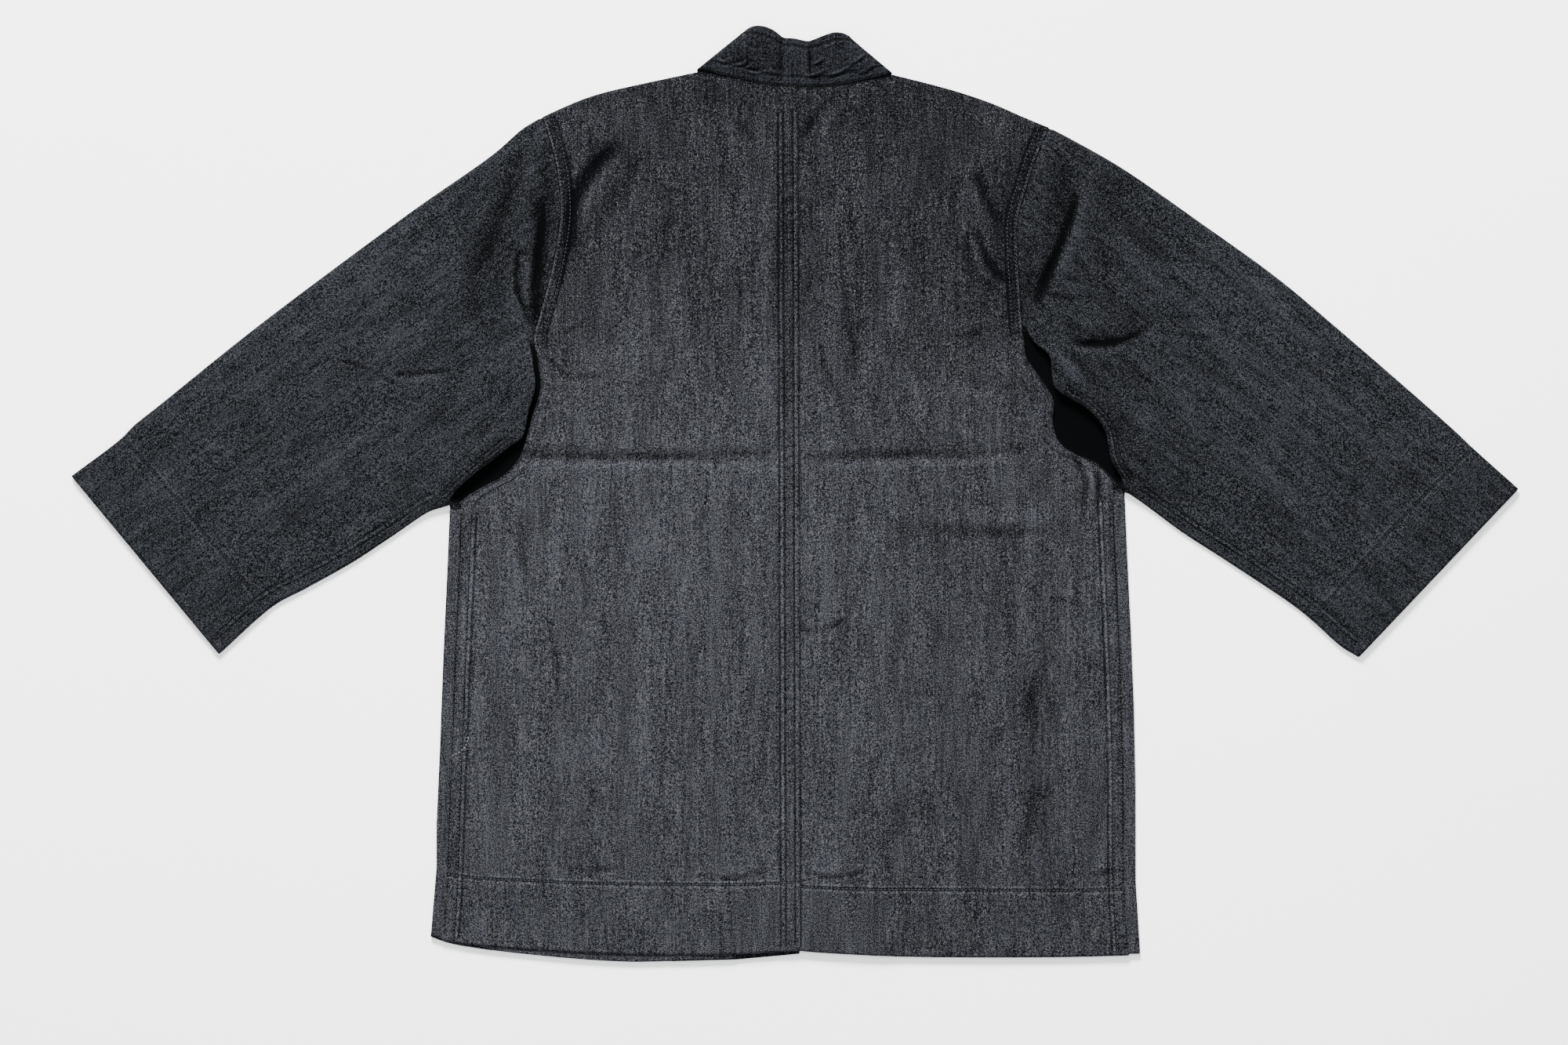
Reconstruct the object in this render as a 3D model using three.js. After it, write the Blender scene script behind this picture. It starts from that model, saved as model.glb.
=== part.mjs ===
// A denim haori jacket laid face down: the two fronts rest on the surface, the
// back lies on them, the sleeves lie out flat, and the collar band stands a
// little above the neckline. Millimetres, +Z up, the collar towards +Y and the
// wearer's left at -X. The origin is under the middle of the outline.
import * as THREE from "three";

// ---- Driving dimensions --------------------------------------------------

const CLOTH = 1.2; // wall of one layer of denim
const BAND_CLOTH = 2 * CLOTH; // the collar band is a strip folded double
const SEAM_GAP = 0.3; // between two pieces that are sewn together
const FELL_RELIEF = 0.6; // how far a flat-felled seam stands out
const HEM_RELIEF = 0.5; // how far a turned hem stands out

const BODY_HEIGHT = 3.6; // top of the back where it lies on one front layer
const BAND_LIFT = 0.9; // what the collar bands underneath add to that
const BAND_REACH = { full: 70, none: 95 }; // half-widths where that is added
const SLEEVE_HEIGHT = 3.9; // top of a flat sleeve
const SHOULDER_EDGE = 2 * CLOTH + SEAM_GAP; // top of the back at its edge

const SIDE_WRAP = 10; // the front turns round the side by this much
const HEM_DEPTH = 58;
const CUFF_HEM_DEPTH = 55;
const FELL_WIDTH = 11;
const FELL_SLOPE = 1.4; // width of the little slope beside a felled seam

const CENTRE_HEM = { x: 3.4, y: -393 };
const CENTRE_NECK = { x: 0.7, y: 351 };
const CLOTH_COLOURS = { body: 0x3d4148, sleeve: 0x30343b, collar: 0x24272b };

// The pleat where the sleeve tucks under itself beside the armhole, as a section
// that leaves the body. Where there is none, a line lies at the `ramp` share of
// the way from the armhole's edge to the sleeve's visible edge. Where the cloth
// only steps up, it lies at the `across` share (0 or 1) and `past` beyond it,
// and `tuck` further where the step is folded under. A height is given above
// the surface (`floor`), under the body's top or under the sleeve's.
const PLEAT = [
  { name: "seam", ramp: 0, across: 0, past: -2.4, tuck: 0, belowBody: 0 },
  { name: "lip", ramp: 0.1, across: 0, past: -0.1, tuck: 0, belowBody: 0.3 },
  { name: "foot", ramp: 0.2, across: 0, past: 0.9, tuck: 0, floor: 3 },
  { name: "hidden floor", ramp: 0.4, across: 1, past: -0.8, tuck: 7.8, floor: 3 },
  { name: "hidden turn", ramp: 0.5, across: 1, past: -0.1, tuck: 8.4, floor: 3.9 },
  { name: "hidden roof", ramp: 0.6, across: 1, past: 0.2, tuck: 6.8, floor: 4.8 },
  { name: "edge below", ramp: 0.7, across: 1, past: 0.1, tuck: 0.8, floor: 5.4 },
  { name: "edge", ramp: 0.8, across: 1, past: 0, tuck: 0, belowSleeve: 2.2 },
  { name: "edge above", ramp: 0.9, across: 1, past: 0.9, tuck: 0, belowSleeve: 0.6 },
];

// ---- Outline tables, a row for each corner or change of direction ---------

// Columns of armhole, from the underarm to the tip of the shoulder: the edge of
// the back (x, y), the sleeve's visible edge beside it (edgeX, edgeY), and the
// pleat there: 0 for none, 1 for a step, 2 for a step folded fully under.
const LEFT = {
  sign: -1,
  sideEdge: [
    { x: -314, y: -381 },
    { x: -309, y: -321 },
    { x: -309, y: -284 },
    { x: -306, y: -217 },
    { x: -303.5, y: -148 },
    { x: -299.5, y: -60 },
    { x: -297.4, y: -10 },
  ],
  backHem: [
    { x: -304, y: -384 },
    { x: -278, y: -388 },
    { x: -226, y: -392 },
    { x: -145, y: -396 },
    { x: -53, y: -396 },
    CENTRE_HEM,
  ],
  frontHem: [
    { x: -314, y: -381 },
    { x: -296, y: -387 },
    { x: -226, y: -396.5 },
    { x: -145, y: -402.5 },
    { x: -108, y: -402 },
    { x: -54, y: -399 },
  ],
  armhole: [
    { x: -297.4, y: -9.5, edgeX: -302.5, edgeY: -11, pleat: 0 },
    { x: -294.6, y: -8.6, edgeX: -300, edgeY: -6, pleat: 0 },
    { x: -287.5, y: -6, edgeX: -292.5, edgeY: 2.5, pleat: 1 },
    { x: -280, y: 0, edgeX: -279, edgeY: 15, pleat: 2 },
    { x: -265, y: 8.5, edgeX: -260, edgeY: 29.5, pleat: 2 },
    { x: -251.5, y: 16, edgeX: -246, edgeY: 40.5, pleat: 2 },
    { x: -237.5, y: 31.5, edgeX: -235, edgeY: 48.5, pleat: 2 },
    { x: -232, y: 46, edgeX: -232.5, edgeY: 55, pleat: 2 },
    { x: -226, y: 68, edgeX: -229.5, edgeY: 70, pleat: 2 },
    { x: -219, y: 92, edgeX: -223.5, edgeY: 93, pleat: 1.6 },
    { x: -221, y: 112, edgeX: -225.5, edgeY: 112, pleat: 1 },
    { x: -224.5, y: 134, edgeX: -229.5, edgeY: 134, pleat: 0 },
    { x: -219, y: 156, edgeX: -224, edgeY: 155, pleat: 0 },
    { x: -208, y: 198, edgeX: -213, edgeY: 197, pleat: 0 },
    { x: -201.5, y: 245, edgeX: -206.5, edgeY: 244, pleat: 0 },
    { x: -205.5, y: 285, edgeX: -210.5, edgeY: 283, pleat: 0 },
    { x: -212.5, y: 311, edgeX: -217, edgeY: 308.6, pleat: 0 },
    { x: -215.8, y: 321.2, edgeX: -220.3, edgeY: 318.8, pleat: 0 },
    { x: -217, y: 325, edgeX: -221.5, edgeY: 322.6, pleat: 0 },
  ],
  frontArmhole: [
    { x: -297.4, y: -9.5 },
    { x: -262, y: 28 },
    { x: -232, y: 90 },
    { x: -214, y: 180 },
    { x: -206, y: 255 },
    { x: -217, y: 325 },
  ],
  shoulder: [
    { x: -217, y: 325 },
    { x: -202, y: 332 },
    { x: -183, y: 340 },
    { x: -164, y: 346 },
    { x: -115, y: 357 },
    { x: -85.6, y: 363 },
  ],
  neck: [
    { x: -85.6, y: 363 },
    { x: -80, y: 363.4 },
    { x: -53, y: 358.5 },
    { x: -26, y: 352.5 },
    CENTRE_NECK,
  ],
  sleeveFold: [
    { x: -221.5, y: 322.6 },
    { x: -235, y: 314 },
    { x: -260, y: 292.5 },
    { x: -331, y: 243 },
    { x: -461, y: 146.5 },
    { x: -549.5, y: 75.5 },
    { x: -569, y: 60 },
    { x: -581, y: 48 },
    { x: -623.3, y: 16 },
  ],
  cuff: [
    { x: -623.3, y: 16 },
    { x: -496, y: -137.6 },
  ],
  sleeveUnder: [
    { x: -302.5, y: -11 },
    { x: -315, y: -15 },
    { x: -347.5, y: -36.5 },
    { x: -381, y: -58.5 },
    { x: -422, y: -81.5 },
    { x: -449, y: -96 },
    { x: -496, y: -137.6 },
  ],
  fellAtCentre: true,
};

const RIGHT = {
  sign: 1,
  sideEdge: [
    { x: 297.4, y: -395.5 },
    { x: 293.5, y: -332 },
    { x: 293.4, y: -250 },
    { x: 292, y: -182 },
    { x: 289.3, y: -115 },
    { x: 286, y: -47 },
    { x: 284, y: 1 },
  ],
  backHem: [
    { x: 287.4, y: -397 },
    { x: 227, y: -398.5 },
    { x: 92, y: -398 },
    { x: 21, y: -394.5 },
    CENTRE_HEM,
  ],
  frontHem: [
    { x: 297.4, y: -395.5 },
    { x: 227, y: -397 },
    { x: 92, y: -396.5 },
    { x: 60, y: -395 },
  ],
  armhole: [
    { x: 284, y: 1.5, edgeX: 288.5, edgeY: 0, pleat: 0 },
    { x: 280, y: 6, edgeX: 285, edgeY: 8, pleat: 0 },
    { x: 274.5, y: 12, edgeX: 281, edgeY: 14.5, pleat: 1 },
    { x: 258, y: 28, edgeX: 272.5, edgeY: 28.5, pleat: 2 },
    { x: 244, y: 33.5, edgeX: 270, edgeY: 41, pleat: 2 },
    { x: 229, y: 43.5, edgeX: 267, edgeY: 54, pleat: 2 },
    { x: 224, y: 53, edgeX: 260, edgeY: 65, pleat: 1 },
    { x: 222.5, y: 66, edgeX: 249, edgeY: 75.5, pleat: 1 },
    { x: 223, y: 79, edgeX: 236, edgeY: 83, pleat: 1 },
    { x: 217.5, y: 91, edgeX: 223.5, edgeY: 92, pleat: 1.8 },
    { x: 207, y: 106, edgeX: 221, edgeY: 106, pleat: 2 },
    { x: 199, y: 119, edgeX: 219, edgeY: 119, pleat: 1.6 },
    { x: 197.5, y: 132, edgeX: 205, edgeY: 132, pleat: 1 },
    { x: 195, y: 146, edgeX: 200, edgeY: 146, pleat: 0 },
    { x: 193.5, y: 169, edgeX: 198.5, edgeY: 169, pleat: 0 },
    { x: 191.2, y: 208, edgeX: 196.2, edgeY: 207, pleat: 0 },
    { x: 191.5, y: 237, edgeX: 196.5, edgeY: 236, pleat: 0 },
    { x: 199, y: 264, edgeX: 204, edgeY: 262, pleat: 0 },
    { x: 205.5, y: 285, edgeX: 210.5, edgeY: 283, pleat: 0 },
    { x: 212.5, y: 303, edgeX: 217, edgeY: 300.5, pleat: 0 },
    { x: 216.7, y: 312.4, edgeX: 221.2, edgeY: 310, pleat: 0 },
    { x: 218, y: 316, edgeX: 222.3, edgeY: 313.6, pleat: 0 },
  ],
  frontArmhole: [
    { x: 284, y: 1.5 },
    { x: 252, y: 35 },
    { x: 224, y: 92 },
    { x: 204, y: 175 },
    { x: 197, y: 245 },
    { x: 218, y: 316 },
  ],
  shoulder: [
    { x: 218, y: 316 },
    { x: 204, y: 321.5 },
    { x: 171, y: 336 },
    { x: 142, y: 346 },
    { x: 119, y: 352.5 },
    { x: 84.4, y: 361 },
  ],
  neck: [
    { x: 84.4, y: 361 },
    { x: 73, y: 359.3 },
    { x: 55, y: 355 },
    { x: 40, y: 352.3 },
    { x: 17.6, y: 350.3 },
    CENTRE_NECK,
  ],
  sleeveFold: [
    { x: 222.3, y: 313.6 },
    { x: 238.5, y: 305 },
    { x: 281, y: 281 },
    { x: 350, y: 233.5 },
    { x: 415, y: 187 },
    { x: 463.5, y: 146.5 },
    { x: 569, y: 54.5 },
    { x: 581, y: 43 },
    { x: 623.3, y: 5 },
  ],
  cuff: [
    { x: 623.3, y: 5 },
    { x: 485.5, y: -140.3 },
  ],
  sleeveUnder: [
    { x: 288.5, y: 0 },
    { x: 301.5, y: -9 },
    { x: 334, y: -33 },
    { x: 366.5, y: -54 },
    { x: 431, y: -97 },
    { x: 447.5, y: -110.5 },
    { x: 471, y: -131.5 },
    { x: 485.5, y: -140.3 },
  ],
  fellAtCentre: false,
};

// The collar band, a row for each section across it: (x, y) on its sewn edge,
// (freeX, freeY) on its free edge, then the height of the outer face at each.
// It runs up the left front under the jacket, turns over at the neck, crosses
// the back neck on top, turns again and runs down the right front.
const BAND_RUN = [
  { x: -51.3, y: -401, freeX: 3.3, freeY: -396, z: 0, freeZ: 0 },
  { x: -51, y: -250, freeX: 3.2, freeY: -250, z: 0, freeZ: 0 },
  { x: -51, y: -90, freeX: 3.2, freeY: -90, z: 0, freeZ: 0 },
  { x: -51, y: 50, freeX: 3.2, freeY: 50, z: 0, freeZ: 0 },
  { x: -52, y: 130, freeX: 2.6, freeY: 135, z: 0, freeZ: 0 },
  { x: -56, y: 200, freeX: -2, freeY: 212, z: 0, freeZ: 0 },
  { x: -63, y: 262, freeX: -11, freeY: 284, z: 0, freeZ: 0 },
  { x: -72, y: 315, freeX: -24, freeY: 344, z: 0, freeZ: 0 },
  { x: -82.6, y: 357.5, freeX: -38.5, freeY: 394, z: 0, freeZ: 0 },
  { x: -84.2, y: 363.4, freeX: -41, freeY: 398.8, z: 0.9, freeZ: 0.9 },
  { x: -84.4, y: 365.2, freeX: -41.5, freeY: 400, z: 3.4, freeZ: 4.4 },
  { x: -83.4, y: 366.4, freeX: -40.6, freeY: 401, z: 6.4, freeZ: 8.2 },
  { x: -77, y: 365.4, freeX: -38, freeY: 402, z: 7.2, freeZ: 10.6 },
  { x: -66, y: 361.7, freeX: -34, freeY: 402.6, z: 6.9, freeZ: 12.6 },
  { x: -51, y: 358.5, freeX: -28, freeY: 402, z: 6.5, freeZ: 13.6 },
  { x: -35, y: 354.8, freeX: -20, freeY: 399.3, z: 6, freeZ: 13.2 },
  { x: -21, y: 352.2, freeX: -13.4, freeY: 395, z: 6, freeZ: 11.6 },
  { x: -13, y: 351.8, freeX: -9.6, freeY: 392.6, z: 5.8, freeZ: 8.2 },
  { x: 2, y: 351.5, freeX: 0, freeY: 391.8, z: 6, freeZ: 8.4 },
  { x: 14.5, y: 350.9, freeX: 11.5, freeY: 389.6, z: 5.8, freeZ: 8 },
  { x: 21, y: 351, freeX: 16.5, freeY: 391, z: 6, freeZ: 10.6 },
  { x: 33, y: 351.9, freeX: 25, freeY: 394, z: 6, freeZ: 12.8 },
  { x: 47, y: 354.2, freeX: 33.5, freeY: 396.6, z: 6, freeZ: 13.2 },
  { x: 61, y: 357.2, freeX: 41, freeY: 396.4, z: 6.6, freeZ: 12 },
  { x: 74.5, y: 360.5, freeX: 46.5, freeY: 394.3, z: 7.1, freeZ: 9.9 },
  { x: 82.6, y: 363.4, freeX: 50, freeY: 391, z: 6.4, freeZ: 8 },
  { x: 83.6, y: 362.8, freeX: 51, freeY: 389.8, z: 3.4, freeZ: 4.2 },
  { x: 83.4, y: 361, freeX: 50.4, freeY: 388.2, z: 0.9, freeZ: 0.9 },
  { x: 82, y: 355.5, freeX: 48, freeY: 384, z: 0, freeZ: 0 },
  { x: 74.5, y: 312, freeX: 31, freeY: 340, z: 0, freeZ: 0 },
  { x: 68.5, y: 262, freeX: 17.5, freeY: 283, z: 0, freeZ: 0 },
  { x: 63, y: 200, freeX: 9, freeY: 211, z: 0, freeZ: 0 },
  { x: 60, y: 130, freeX: 5.2, freeY: 134, z: 0, freeZ: 0 },
  { x: 59, y: 50, freeX: 4.6, freeY: 50, z: 0, freeZ: 0 },
  { x: 59, y: -90, freeX: 4.6, freeY: -90, z: 0, freeZ: 0 },
  { x: 59, y: -250, freeX: 4.6, freeY: -250, z: 0, freeZ: 0 },
  { x: 59.4, y: -394.5, freeX: 4.8, freeY: -392.5, z: 0, freeZ: 0 },
];
const BAND_BULGE = 0.14; // the raised band arches by this share of its rise
const BAND_SHARES = [0, 0.25, 0.5, 0.75, 1];

// Largest soft folds: a ridge, or a trough where the height is below zero,
// along the line from (x, y) to (toX, toY).
const BODY_FOLDS = [
  // beside the two armholes
  { x: -220, y: 95, toX: -282, toY: 0, halfWidth: 24, height: 2.2 },
  { x: 212, y: 100, toX: 268, toY: 22, halfWidth: 24, height: 2.2 },
  { x: -186, y: 305, toX: -196, toY: 225, halfWidth: 20, height: 1.3 },
  { x: 168, y: 262, toX: 188, toY: 180, halfWidth: 20, height: 1.4 },
  // under the collar and the shoulder blades
  { x: -80, y: 352, toX: 80, toY: 350, halfWidth: 22, height: 1.6 },
  { x: -60, y: 330, toX: -30, toY: 90, halfWidth: 22, height: 0.9 },
  { x: 45, y: 320, toX: 60, toY: 70, halfWidth: 22, height: 0.9 },
  { x: -120, y: 250, toX: -130, toY: -40, halfWidth: 24, height: 0.7 },
  { x: 128, y: 230, toX: 130, toY: -60, halfWidth: 24, height: 0.7 },
  // long ripples of the skirt
  { x: -190, y: -80, toX: -200, toY: -340, halfWidth: 26, height: 0.8 },
  { x: -95, y: -110, toX: -90, toY: -350, halfWidth: 24, height: 0.6 },
  { x: 90, y: -90, toX: 95, toY: -340, halfWidth: 24, height: 0.6 },
  { x: 205, y: -60, toX: 210, toY: -330, halfWidth: 26, height: 0.8 },
  // the crease left by folding the jacket across
  { x: -232, y: 29, toX: -20, toY: 29, halfWidth: 7, height: -0.9 },
  { x: 12, y: 27, toX: 190, toY: 37, halfWidth: 7, height: -0.9 },
];
const SLEEVE_FOLDS = [
  // the cloth that stands up where each sleeve meets the underarm
  { x: -224, y: 96, toX: -280, toY: 20, halfWidth: 38, height: 7.2 },
  { x: 226, y: 112, toX: 271, toY: 33, halfWidth: 38, height: 7.2 },
  // from the shoulder towards the elbow
  { x: -238, y: 260, toX: -252, toY: 150, halfWidth: 24, height: 1.8 },
  { x: -268, y: 300, toX: -262, toY: 170, halfWidth: 16, height: -1.1 },
  { x: 246, y: 262, toX: 212, toY: 168, halfWidth: 20, height: 3 },
  { x: -330, y: 106, toX: -300, toY: 110, halfWidth: 14, height: -2 },
  { x: 246, y: 128, toX: 296, toY: 144, halfWidth: 13, height: -3 },
  // long ripples along each sleeve
  { x: -320, y: 170, toX: -520, toY: 20, halfWidth: 26, height: 0.8 },
  { x: 320, y: 160, toX: 520, toY: 5, halfWidth: 26, height: 0.8 },
];

// ---- Plan lines and heights -------------------------------------------------

const atPlan = ({ x, y }) => new THREE.Vector3(x, y, 0);
const mix = THREE.MathUtils.lerp;
const smooth = THREE.MathUtils.smoothstep;
const last = (list) => list[list.length - 1];

/** A smooth plan line through a table's rows. */
function planLine(rows) {
  return new THREE.CatmullRomCurve3(rows.map(atPlan), false, "centripetal");
}

/** Points at the given shares of a boundary, which may turn a corner between tables. */
function alongBoundary(tables, shares) {
  const path = new THREE.CurvePath();
  for (const rows of tables) path.add(planLine(rows));
  return shares.map((share) => path.getPoint(share));
}

/** The x of a line that runs up the jacket, at a given y. */
function crossingAt(rows, y) {
  let k = 1;
  while (k < rows.length - 1 && rows[k].y < y) k += 1;
  const low = rows[k - 1];
  const high = rows[k];
  return mix(low.x, high.x, (y - low.y) / (high.y - low.y));
}

/** Each point's share of the way along a list of points. */
function sharesOf(points) {
  const places = [0];
  for (let k = 1; k < points.length; k += 1) {
    places.push(places[k - 1] + points[k].distanceTo(points[k - 1]));
  }
  return places.map((place) => place / last(places));
}

/**
 * A grid of points inside four boundaries. `start` and `end` hold a point for
 * each row, `low` and `high` one for each column; us and vs are their shares.
 */
function patch({ start, end, low, high, us, vs }) {
  return vs.map((v, i) =>
    us.map((u, j) => {
      const point = new THREE.Vector3();
      point.addScaledVector(start[i], 1 - u).addScaledVector(end[i], u);
      point.addScaledVector(low[j], 1 - v).addScaledVector(high[j], v);
      point.addScaledVector(low[0], -(1 - u) * (1 - v));
      point.addScaledVector(last(low), -u * (1 - v));
      point.addScaledVector(high[0], -(1 - u) * v);
      point.addScaledVector(last(high), -u * v);
      return point;
    }),
  );
}

/** What the soft folds of a table add to the height at a plan point. */
function foldHeight(folds, point) {
  let total = 0;
  const flat = new THREE.Vector3(point.x, point.y, 0);
  for (const fold of folds) {
    const end = new THREE.Vector3(fold.toX, fold.toY, 0);
    const line = new THREE.Line3(atPlan(fold), end);
    const nearest = line.closestPointToPoint(flat, true, new THREE.Vector3());
    const reach = nearest.distanceTo(flat) / fold.halfWidth;
    total += fold.height * Math.exp(-reach * reach);
  }
  return total;
}

function bodyHeight(point) {
  const offBand = smooth(Math.abs(point.x), BAND_REACH.full, BAND_REACH.none);
  return BODY_HEIGHT + BAND_LIFT * (1 - offBand) + foldHeight(BODY_FOLDS, point);
}

function sleeveHeight(point) {
  return SLEEVE_HEIGHT + foldHeight(SLEEVE_FOLDS, point);
}

/** Stops from one list to the next, with even steps between the two. */
function stops(before, steps, after) {
  const middle = [];
  for (let i = 1; i < steps; i += 1) {
    middle.push(mix(last(before), after[0], i / steps));
  }
  return [...before, ...middle, ...after];
}

// ---- Walls of cloth -----------------------------------------------------------

/** The way a line runs through a vertex: evenly between its two sides. */
function lineThrough(before, vertex, after) {
  const coming = new THREE.Vector3().subVectors(vertex.point, before.point);
  const going = new THREE.Vector3().subVectors(after.point, vertex.point);
  return coming.normalize().add(going.normalize());
}

/**
 * Closes a grid of points on the cloth's face into a wall. Each cell of a row
 * is { point, relief }, or null where there is no cloth. The relief raises the
 * face alone, so the inside stays plain. `side` is 1 or -1, for the way the
 * grid faces, and a round grid joins its last column to its first.
 */
function clothWall(rows, { side, thickness = CLOTH, round = false }) {
  const columnCount = rows[0].length;
  const wrapped = (j) => (round ? (j + columnCount) % columnCount : j);
  const vertexAt = (i, j) => rows[i]?.[wrapped(j)] ?? null;
  const cellAt = (i, j) => {
    const corners = [vertexAt(i, j), vertexAt(i, j + 1), vertexAt(i + 1, j + 1)];
    corners.push(vertexAt(i + 1, j));
    return corners.every(Boolean) ? corners : null;
  };
  const faces = new Map();
  const insides = new Map();
  rows.forEach((row, i) => {
    row.forEach((vertex, j) => {
      if (!vertex) return;
      const before = vertexAt(i, j - 1) ?? vertex;
      const after = vertexAt(i, j + 1) ?? vertex;
      const below = vertexAt(i - 1, j) ?? vertex;
      const above = vertexAt(i + 1, j) ?? vertex;
      const normal = lineThrough(before, vertex, after);
      normal.cross(lineThrough(below, vertex, above)).setLength(side);
      faces.set(vertex, vertex.point.clone().addScaledVector(normal, vertex.relief));
      insides.set(vertex, vertex.point.clone().addScaledVector(normal, -thickness));
    });
  });

  const positions = [];
  const triangle = (a, b, c) => {
    const order = side > 0 ? [a, b, c] : [a, c, b];
    for (const corner of order) positions.push(corner.x, corner.y, corner.z);
  };
  const quad = (a, b, c, d) => {
    triangle(a, b, c);
    triangle(a, c, d);
  };
  for (let i = 0; i < rows.length - 1; i += 1) {
    for (let j = 0; j < (round ? columnCount : columnCount - 1); j += 1) {
      const cell = cellAt(i, j);
      if (!cell) continue;
      const outer = cell.map((vertex) => faces.get(vertex));
      const inner = cell.map((vertex) => insides.get(vertex));
      quad(outer[0], outer[1], outer[2], outer[3]);
      quad(inner[0], inner[3], inner[2], inner[1]);
      const beside = [cellAt(i - 1, j), cellAt(i, j + 1), cellAt(i + 1, j)];
      beside.push(cellAt(i, j - 1));
      beside.forEach((other, k) => {
        const next = (k + 1) % 4;
        if (!other) quad(outer[next], outer[k], inner[k], inner[next]);
      });
    }
  }
  const geometry = new THREE.BufferGeometry();
  geometry.setAttribute("position", new THREE.Float32BufferAttribute(positions, 3));
  geometry.computeVertexNormals();
  return geometry;
}

function clothMesh(name, geometry, colour) {
  const finish = { color: colour, roughness: 0.92, metalness: 0 };
  const mesh = new THREE.Mesh(geometry, new THREE.MeshStandardMaterial(finish));
  mesh.name = name;
  return mesh;
}

// ---- Side and armhole, shared by the pieces that meet there ---------------------

const SIDE_STEPS = 8;
const WRAP_END = 3.5; // the turned side stops this far under the underarm

/** Heights of the rows up the side of a half, from the hem to the underarm. */
function sideHeights(half) {
  const hem = half.sideEdge[0].y;
  const hemTop = hem + HEM_DEPTH;
  return stops([hem, hemTop, hemTop + FELL_SLOPE], SIDE_STEPS, [last(half.sideEdge).y]);
}

/** The seam between the turned side and the back, at a given height. */
function sideSeamAt(half, y) {
  const x = crossingAt(half.sideEdge, y) - half.sign * SIDE_WRAP;
  return new THREE.Vector3(x, y, 0);
}

/** A plan line moved square to itself, to its left as it runs, by each distance. */
function movedSideways(points, distances) {
  return points.map((point, k) => {
    const before = points[Math.max(k - 1, 0)];
    const after = points[Math.min(k + 1, points.length - 1)];
    const tangent = new THREE.Vector3().subVectors(after, before).normalize();
    const square = new THREE.Vector3(-tangent.y, tangent.x, 0);
    return point.clone().addScaledVector(square, distances[k]);
  });
}

/** The armhole's edge moved away from the body; pleated rows may move further. */
function besideArmhole(half, ifPlain, ifPleated) {
  const outward = -half.sign;
  const formed = half.armhole.map(({ pleat }) => Math.min(1, pleat));
  const distances = formed.map((share) => outward * mix(ifPlain, ifPleated, share));
  return movedSideways(half.armhole.map(atPlan), distances);
}

const FRONT_ARMHOLE_STEPS = 7;
const FRONT_ARMHOLE_SHARES = stops(
  [0, 0.016, 0.04],
  FRONT_ARMHOLE_STEPS,
  [0.965, 0.988, 1],
);

// ---- Back: two panels, flat-felled at the centre --------------------------------

const SIDE_SEAM_ROW = 2; // the armhole row where the side seam ends
const BACK_STEPS = 11; // columns between the felled bands
const END_SPREAD = 4; // how closely the slant of hem and neck keeps to the ends
const SHOULDER_FALL = 0.965; // from this share up, the back sinks to its shoulder seam
const NECK_EASE = 0.75; // and from this share of the shoulder on it stays up

function backPanel(half) {
  const seamSide = -half.sign * (SEAM_GAP / 2);
  const sewn = besideArmhole(half, 0, PLEAT[0].past).slice(SIDE_SEAM_ROW);
  const heights = sideHeights(half).slice(0, -1);
  const start = heights.map((y) => sideSeamAt(half, y));
  start[0] = atPlan(half.backHem[0]);
  start.push(...sewn);
  const bottom = start[0].y;
  const vs = start.map(({ y }) => (y - bottom) / (last(start).y - bottom));
  const end = start.map(({ x, y }, i) => {
    const drop = (CENTRE_HEM.y - bottom) * (1 - vs[i]) ** END_SPREAD;
    const rise = (CENTRE_NECK.y - last(start).y) * vs[i] ** END_SPREAD;
    const share = (y + drop + rise - CENTRE_HEM.y) / (CENTRE_NECK.y - CENTRE_HEM.y);
    const centre = atPlan(CENTRE_HEM).lerp(atPlan(CENTRE_NECK), share);
    centre.x -= seamSide;
    return centre;
  });

  const width = Math.abs(start[0].x - end[0].x);
  const fell = FELL_WIDTH / width;
  const slope = FELL_SLOPE / width;
  const nearCentre = half.fellAtCentre ? [1 - fell - slope, 1 - fell, 1] : [0.97, 1];
  const us = stops([0, fell, fell + slope], BACK_STEPS, nearCentre);
  const low = alongBoundary([half.backHem], us);
  const high = alongBoundary([half.shoulder, half.neck], us);
  low[low.length - 1] = end[0];
  high[high.length - 1] = last(end);

  const shoulderLength = planLine(half.shoulder).getLength();
  const neckLength = planLine(half.neck).getLength();
  const neckPoint = shoulderLength / (shoulderLength + neckLength);
  const grid = patch({ start, end, low, high, us, vs });
  const hemTop = sideHeights(half)[1];
  const hemShare = (hemTop - bottom) / (last(start).y - bottom);
  const rows = grid.map((points, i) =>
    points.map((point, j) => {
      const onShoulder = 1 - smooth(us[j], NECK_EASE * neckPoint, neckPoint);
      const edge = smooth(vs[i], SHOULDER_FALL, 1) * onShoulder;
      point.z = mix(bodyHeight(point), SHOULDER_EDGE, edge);
      const felled = us[j] <= fell || (half.fellAtCentre && us[j] >= 1 - fell);
      const hemmed = vs[i] <= hemShare + 1e-6;
      const relief = Math.max(felled ? FELL_RELIEF : 0, hemmed ? HEM_RELIEF : 0);
      return { point, relief };
    }),
  );
  return clothWall(rows, { side: -half.sign });
}

// ---- Fronts: flat on the surface, turned up round the sides -----------------------

// The turn from the back's side seam round the edge: the share of SIDE_WRAP
// in from the edge, and the share of the back's height.
const SIDE_TURN = [
  { inset: 1, height: 1 },
  { inset: 0.35, height: 0.98 },
  { inset: 0.08, height: 0.82 },
  { inset: 0, height: 0.5 },
];
const SIDE_TURN_FOOT = { inset: 0.08, height: 0.16 };
const BAND_SEAM_GAP = 0.5;
const FRONT_STEPS = 7;
const FRONT_EDGE_SHARE = 0.014; // the first column beside the turn

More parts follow.
